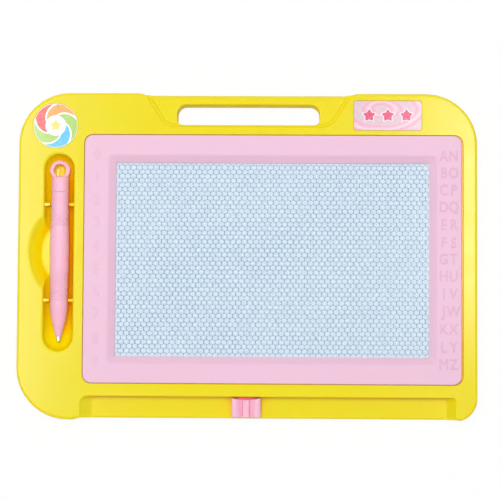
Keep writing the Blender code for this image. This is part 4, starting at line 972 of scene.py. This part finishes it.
white, green = (0.93, 0.94, 0.94), (0.37, 0.61, 0.09)
sticker = {
    "edge": 0.1, "twist": 22.0, "wedgeShare": 0.17, "middle": 7.2, "rim": 15.1,
    "wedges": ((0.05, 0.52, 0.87), green, (0.90, 0.35, 0.03), (0.75, 0.05, 0.05), green),
    "starSize": 2.35, "starColour": (0.95, 0.70, 0.10),
}
label = {
    "waves": {"Scale": 32.0, "Distortion": 2.4, "Detail": 1.0, "Detail_Scale": 1.6},
    "place": (0.004, -0.003, 0), "turn": (0, 0, 0.35), "stretch": (0.55, 1.0, 1.0),
    "colours": ((0.0, (0.70, 0.50, 0.60)), (0.45, (0.73, 0.53, 0.62)), (0.62, (0.84, 0.36, 0.48)),
                (0.9, (0.86, 0.42, 0.54)), (1.0, (0.82, 0.60, 0.68))),
    # the stars' distance, and the size and colour of each one's outline and of the star in it
    "starStep": 13.0, "stars": ((3.3, (0.88, 0.78, 0.84)), (2.65, (0.74, 0.035, 0.15))),
}
starSlope = (0.588, 0.809)    # sine and cosine of half the angle between two points of a five-pointed star


def fromMiddle(finish, node):
    # places on a sticker, from its middle
    low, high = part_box(node)
    return finish.node("Mapping", Vector=finish.place, Location=tuple((low + high) / -2)).outputs[0]


def starPlace(finish, x, y):
    # how far out a place lies, at what angle, and how far out on a five-pointed star
    far = finish.math("SQRT", finish.squares(x, y))
    angle = finish.math("ARCTAN2", y, x)
    # the angle folded to one point of the star, then a straight edge
    fold = finish.math("PINGPONG", finish.math("ADD", angle, math.radians(-90)), math.radians(36))
    along = finish.math("MULTIPLY", finish.math("COSINE", fold), starSlope[0])
    aside = finish.math("MULTIPLY", finish.math("SINE", fold), starSlope[1])
    return far, angle, finish.math("MULTIPLY", far, finish.math("ADD", along, aside))


def printed(finish, base):
    # glossy ink on film
    ink = finish.noise(500.0, 3.0, 0.6)
    return finish.surface(
        Base_Color=finish.tint(base, ink, 0.4, 0.7, 0.12, (0.9, 0.9, 0.9)),
        Roughness=finish.spread(ink, 0.3, 0.7, 0.18, 0.28), Normal=finish.bump(ink, 0.01),
        Coat_Weight=0.4, Coat_Roughness=0.1,
    )


def pinwheelPrint():
    # curved wedges of four colours round a white middle with a star
    finish = Finish("round sticker print")
    x, y, z = finish.parts(fromMiddle(finish, "round_sticker"))
    far, angle, edge = starPlace(finish, x, y)
    twist = finish.math("MULTIPLY", far, sticker["twist"])
    turn = finish.math("ADD", finish.math("DIVIDE", angle, math.tau), twist)
    wedges = []
    for k, colour in enumerate(sticker["wedges"]):
        start = k / len(sticker["wedges"])
        wedges += [(start, colour), (start + sticker["wedgeShare"], white)]
    base = finish.ramp(finish.math("FRACT", turn), wedges, "CONSTANT")
    base = finish.mix(finish.math("LESS_THAN", far, sticker["middle"] * mm), base, white)
    base = finish.mix(finish.math("LESS_THAN", edge, sticker["starSize"] * mm), base, sticker["starColour"])
    base = finish.mix(finish.math("GREATER_THAN", far, sticker["rim"] * mm), base, white)
    return printed(finish, base)


def swirlPrint():
    # soft pink swirls on a dusky ground, with a row of three plain stars
    finish = Finish("corner label print")
    at = fromMiddle(finish, "corner_label")
    wide = finish.node("Mapping", Vector=at, Location=label["place"], Rotation=label["turn"],
                       Scale=label["stretch"])
    swirl = finish.node("TexWave", {"wave_type": "RINGS", "rings_direction": "Z", "wave_profile": "SIN"},
                        Vector=wide.outputs[0], **label["waves"])
    base = finish.ramp(swirl.outputs["Fac"], label["colours"])
    # the place within a repeat along the label; the stars end one and a half repeats from the middle
    x, y, z = finish.parts(at)
    step = label["starStep"] * mm
    near = finish.math("PINGPONG", finish.math("ADD", x, step * 10.5), step)
    far, angle, edge = starPlace(finish, finish.math("SUBTRACT", near, step / 2), y)
    edge = finish.math("ADD", edge, finish.math("GREATER_THAN", finish.math("ABSOLUTE", x), step * 1.5))
    for size, colour in label["stars"]:
        base = finish.mix(finish.math("LESS_THAN", edge, size * mm), base, colour)
    return printed(finish, base)


def buildStickers():
    steps = [(stickerLow.z, 0.0)] + upTo(stickerHigh.z, sticker["edge"], -1, 2)
    piece = objectOf("roundSticker", disc(*stickerMiddle.xy, stickerRadius, steps, seats["stickerSteps"]))
    settle(piece, pinwheelPrint(), "board", "gloss_sticker", "round_sticker")
    steps = [(labelLow.z, 0.0)] + upTo(labelHigh.z, sticker["edge"], -1, 2)
    piece = objectOf("cornerLabel", solid(rectangle(labelLow, labelHigh, seats["labelRadius"]), steps))
    settle(piece, swirlPrint(), "board", "gloss_sticker", "corner_label")


buildStickers()


# Screws

screw = {
    "radius": 2.6, "headZ": 0.4, "seatZ": 2.1, "shank": 1.2, "rootShare": 0.78, "length": 7.0, "point": 1.4,
    "turns": 7, "plain": 0.5, "rise": 0.35, "cross": 0.55, "arm": 1.6, "deep": 1.0, "turned": 23,
    # shares of the head's radius, and how far in they lie
    "head": ((0.0, 0.0), (0.45, 0.03), (0.75, 0.2), (0.93, 0.5), (1.0, 0.9)),
}


def buildScrews():
    radius, headZ, seatZ, shank = (screw[key] for key in ("radius", "headZ", "seatZ", "shank"))
    root, threaded = shank * screw["rootShare"], screw["length"] - screw["point"] - screw["plain"]
    end = seatZ + screw["length"]
    profile = [(radius * share, headZ + down) for share, down in screw["head"]]
    profile += [(radius, seatZ), (shank, seatZ)]
    for k in range(screw["turns"]):
        z = seatZ + screw["plain"] + k * threaded / screw["turns"]
        profile += [(root, z), (shank, z + screw["rise"])]
    profile += [(root, end - screw["point"]), (0, end)]
    first = objectOf("first", spun(profile, 32))
    half, arm = screw["cross"] / 2, screw["arm"]
    for length, width in ((arm, half), (half, arm)):
        combine(first, [bar((-length, -width, headZ - past), (length, width, headZ + screw["deep"]))])
    bm = bmesh.new()
    for k, (x, y) in enumerate(screwPlaces):
        copy = first.data.copy()
        turn = Matrix.Rotation(math.radians(screw["turned"] * k), 4, "Z")
        copy.transform(Matrix.Translation((x, y, 0)) @ turn)
        bm.from_mesh(copy)
        bpy.data.meshes.remove(copy)
    bpy.data.objects.remove(first)
    return settle(objectOf("coverScrews", bm), steel, "board", "zinc_steel", *screwNodes)


buildScrews()


# Eraser

knob = {
    "edge": 0.6, "hollow": 1.4, "columns": 96, "neckHalf": 6.3, "neckIn": 9.1,
    "rows": (0.0, 0.03, 0.12, 0.3, 0.6),
    # how far the ridged top lies below its crests, from the middle outwards
    "drops": ((0.0, 0.0), (1.9, 0.0), (2.5, 1.9), (3.3, 1.9), (7.3, 0.0), (8.1, 0.0), (10.4, 0.7)),
}


def buildKnob():
    # a grid laid over the ridges, its rim rounded and its top end hollowed, then closed downwards
    low, high = boxOf("eraser_knob")
    half, edge = (high.x - low.x) / 2, knob["edge"]
    rows = [(0, off) for off in knob["rows"]] + [(1, -off) for off in reversed(knob["rows"])]
    bm = bmesh.new()
    bmesh.ops.create_grid(bm, x_segments=knob["columns"], y_segments=len(rows) - 1, size=1)

    def rounding(inwards):
        return edge - math.sqrt(max(edge ** 2 - max(edge - inwards, 0.0) ** 2, 0.0))

    for vert in bm.verts:
        x = half * vert.co.x
        atEnd, off = rows[round((vert.co.y + 1) / 2 * (len(rows) - 1))]
        endY = high.y - knob["hollow"] * (1 - (x / half) ** 2)
        drop = between(knob["drops"], abs(x), True) + max(rounding(abs(off)), rounding(half - abs(x)))
        vert.co = (x, (endY if atEnd else low.y) + off, high.z - drop)
    wallsDown(bm, low.z)
    bmesh.ops.holes_fill(bm, edges=bm.edges, sides=0)
    piece = objectOf("eraserKnob", bm)
    lowZ, highZ = track["neckZ"]
    combine(piece, [bar((-knob["neckHalf"], high.y - knob["neckIn"], lowZ),
                        (knob["neckHalf"], high.y + past, highZ))])
    return settle(piece, knobPlastic, "eraser", "pink_plastic", "eraser_knob")


buildKnob()
dress("eraser_carrier", carrierRedPaintedShade)
dress("eraser_magnet", magnetRubber)


# Pen

pen = {
    "x": tray["x"], "z": 14.1, "topY": 66.85, "length": 127.3, "radius": 6.8, "nose": 2.3,
    # along the barrel from the cap, and how much wider than the nose it is there
    "shares": ((0.0, 0.85), (0.10, 0.86), (0.22, 0.90), (0.34, 0.98), (0.44, 1.0), (0.54, 0.985),
               (0.66, 0.925), (0.79, 0.89), (0.83, 0.82), (0.87, 0.67), (0.91, 0.48), (0.94, 0.30),
               (0.97, 0.13), (1.0, 0.0)),
    "step": 0.9, "smoothing": (-0.015, -0.0075, 0.0, 0.0075, 0.015), "smoothed": (0.02, 0.985),
    "ribs": ((38.0, 47.0), (77.6, 99.8)), "ribPitch": 1.4, "ribDeep": 0.36, "ribSteps": 5, "ribLead": 0.5,
    "ribFade": 1.5, "lastStep": 0.5,
    "bore": 4.4, "duct": 1.0, "cone": (1.5, 15.5), "seam": 22.4, "seamGap": 0.05, "seamEdge": 0.12,
    "tip": 1.5, "tipOut": 3.8, "tipIn": 6.0,
    "tipShares": ((0.45, 0.06), (0.8, 0.3), (0.96, 0.75), (1.0, 1.3)),
    "spigot": 8.0, "spigotEdge": 0.4, "capEnd": 11.7,
    "capEdge": ((0.0, 1.2), (0.3, 0.5), (1.0, 0.1), (1.6, 0.0)),
    "ring": 7.1, "hole": 4.35, "thick": 5.0, "ringEdge": 1.3, "holeEdge": 0.8,
}


def penRadius(share):
    return pen["nose"] + (pen["radius"] - pen["nose"]) * between(pen["shares"], min(max(share, 0.0), 1.0))


def layDown(bm):
    # from turned round Z to lying along Y in the tray
    bmesh.ops.rotate(bm, verts=bm.verts, matrix=Matrix.Rotation(math.radians(-90), 3, "X"))
    bmesh.ops.translate(bm, verts=bm.verts, vec=(pen["x"], pen["topY"], pen["z"]))
    return bm


def buildBarrel():
    nose, seam, bore = pen["tipOut"] - pen["length"], pen["seam"], pen["bore"]
    length = pen["length"] - pen["tipOut"] - seam
    pitch, lead, fade = pen["ribPitch"], pen["ribLead"], pen["ribFade"]
    places = [0.0]
    while places[-1] < length - pen["lastStep"]:
        ribbed = any(low - lead <= seam + places[-1] <= high for low, high in pen["ribs"])
        places.append(places[-1] + (pitch / pen["ribSteps"] if ribbed else pen["step"]))
    places[-1] = length
    outer = []
    for place in places:
        share, reach = place / length, seam + place
        radius = penRadius(share)
        if pen["smoothed"][0] < share < pen["smoothed"][1]:
            radius = sum(penRadius(share + off) for off in pen["smoothing"]) / len(pen["smoothing"])
        for low, high in pen["ribs"]:
            if low <= reach <= high:
                full = min(1.0, (reach - low) / fade, (high - reach) / fade)
                radius -= pen["ribDeep"] * full * (0.5 - 0.5 * math.cos(math.tau * (reach - low) / pitch))
        outer.append((radius, -reach))
    outer[0] = (outer[0][0] - pen["seamEdge"], outer[0][1])
    outer.insert(1, (outer[1][0], outer[0][1] - pen["seamEdge"]))
    # the tip's bore, the outside, then the bore of the cap's spigot and the cone at its end
    tipBore, boreEnd = pen["tip"] + gap, nose + pen["tipIn"] + gap
    profile = [(pen["duct"], boreEnd), (tipBore, boreEnd), (tipBore, nose), *outer[::-1], (bore, -seam),
               (bore, boreEnd + pen["cone"][1]), (pen["duct"], boreEnd + pen["cone"][0])]
    barrel = objectOf("penBarrel", layDown(spun(profile)))
    return settle(barrel, penPlastic, "pen", "pink_plastic", "pen_barrel", sharp=50)


def buildTailCap():
    seam, end, radius, edge = pen["seamGap"] - pen["seam"], -pen["capEnd"], penRadius(0.0), pen["seamEdge"]
    spigot, low, chamfer = pen["bore"] - gap, seam - pen["spigot"], pen["spigotEdge"]
    profile = [(0, low), (spigot - chamfer, low), (spigot, low + chamfer), (spigot, seam),
               (radius - edge, seam), (radius, seam + edge),
               *[(radius - inwards, end - under) for inwards, under in pen["capEdge"]], (0, end)]
    cap = objectOf("penTailCap", spun(profile))
    half, edge, soft = pen["thick"] / 2, pen["ringEdge"], pen["holeEdge"]
    outer, inner = pen["ring"] - edge, pen["hole"] + soft
    section = cornerTurn(outer, half - edge, edge, 90) + cornerTurn(outer, edge - half, edge, 0)
    section += cornerTurn(inner, soft - half, soft, 270) + cornerTurn(inner, half - soft, soft, 180)
    ring = spun(section, 64)
    bmesh.ops.rotate(ring, verts=ring.verts, matrix=Matrix.Rotation(math.radians(90), 3, "X"))
    bmesh.ops.translate(ring, verts=ring.verts, vec=(0, 0, -pen["ring"]))
    combine(cap, [ring], "UNION")
    bm = bmesh.new()
    bm.from_mesh(cap.data)
    layDown(bm).to_mesh(cap.data)
    bm.free()
    return settle(cap, penPlastic, "pen", "pink_plastic", "pen_tail_cap")


def buildTip():
    low, radius = -pen["length"], pen["tip"]
    root = low + pen["tipOut"] + pen["tipIn"]
    rounding = [(radius * share, low + up) for share, up in pen["tipShares"]]
    profile = [(0, low), *rounding, (radius, root), (0, root)]
    tip = objectOf("penTip", layDown(spun(profile, 32)))
    return settle(tip, steel, "pen", "zinc_steel", "pen_tip_magnet", sharp=50)


buildBarrel()
buildTailCap()
buildTip()


# Floor, light and camera

stage = {
    "floorSize": 6.0, "floorZ": -0.0002, "floorColour": (0.96, 0.96, 0.96), "floorRoughness": 0.9,
    "floorWhite": 0.93, "worldLevel": 0.46,
    # place and size in metres, power, and whether it lights the surfaces and is mirrored in their gloss
    "lamps": {"overhead": ((-0.08, 0.14, 1.3), (0.5, 0.5), 10.3, True, False),
              "left": ((-0.42, 0.10, 1.10), (0.2, 0.6), 4.0, False, True),
              "right": ((0.335, 0.14, 1.15), (0.2, 0.34), 3.4, False, True)},
    "distance": 1200.0, "aim": (2.16, 4.27, 20.0), "tilt": (-3.13, -1.19, -0.281),
    "lens": 124.3, "sensor": 36.0, "clip": (0.05, 20.0),
}


def seenWhite(finish):
    # 1 where the camera, a reflection or a clear piece looks at it, 0 for all other light
    rays = finish.node("LightPath").outputs
    seen = finish.math("MAXIMUM", rays["Is Camera Ray"], rays["Is Glossy Ray"])
    return finish.math("MAXIMUM", seen, rays["Is Transmission Ray"])


def buildFloor():
    bm = bmesh.new()
    bmesh.ops.create_grid(bm, x_segments=1, y_segments=1, size=stage["floorSize"] / 2)
    floor = objectOf("floor", bm)
    floor.location.z = stage["floorZ"]
    finish = Finish("pale floor")
    finish.surface(Base_Color=stage["floorColour"], Roughness=stage["floorRoughness"])
    blend = finish.node("MixShader", Fac=finish.math("MULTIPLY", seenWhite(finish), stage["floorWhite"]))
    finish.join(blend.inputs[1], finish.shader.outputs[0])
    finish.join(blend.inputs[2], finish.node("Emission").outputs[0])
    output = next(n for n in finish.tree.nodes if n.type == "OUTPUT_MATERIAL")
    finish.join(output.inputs["Surface"], blend.outputs[0])
    floor.data.materials.append(finish.owner)


def buildWorld():
    finish = Finish("studio", world=True)
    level = finish.spread(seenWhite(finish), 0.0, 1.0, stage["worldLevel"], 1.0)
    scene.world = finish.surface(Color=(1.0, 1.0, 1.0), Strength=level)


def buildLamp(name, place, size, power, lighting, mirrored):
    light = bpy.data.lights.new(name, "AREA")
    light.shape = "RECTANGLE"
    light.size, light.size_y = size
    light.energy = power
    lamp = bpy.data.objects.new(name, light)
    # it faces the board's middle, the first of its sizes along X
    back = Vector(place).normalized()
    across = (Vector((1, 0, 0)) - back * back.x).normalized()
    turn = Matrix((across, back.cross(across), back)).transposed()
    lamp.matrix_world = Matrix.Translation(place) @ turn.to_4x4()
    lamp.visible_diffuse, lamp.visible_glossy = lighting, mirrored
    scene.collection.objects.link(lamp)


def buildCamera():
    data = bpy.data.cameras.new("camera")
    data.lens = stage["lens"]
    data.sensor_width = stage["sensor"]
    data.clip_start, data.clip_end = stage["clip"]
    camera = bpy.data.objects.new("camera", data)
    back = Euler([math.radians(angle) for angle in stage["tilt"]]).to_matrix().transposed()
    place = (Vector(stage["aim"]) + back @ Vector((0, 0, stage["distance"]))) * mm
    camera.matrix_world = Matrix.Translation(place) @ back.to_4x4()
    scene.collection.objects.link(camera)
    scene.camera = camera


buildFloor()
buildWorld()
for name, settings in stage["lamps"].items():
    buildLamp(name, *settings)
buildCamera()
scene.view_settings.view_transform = "Standard"
print("stage set")
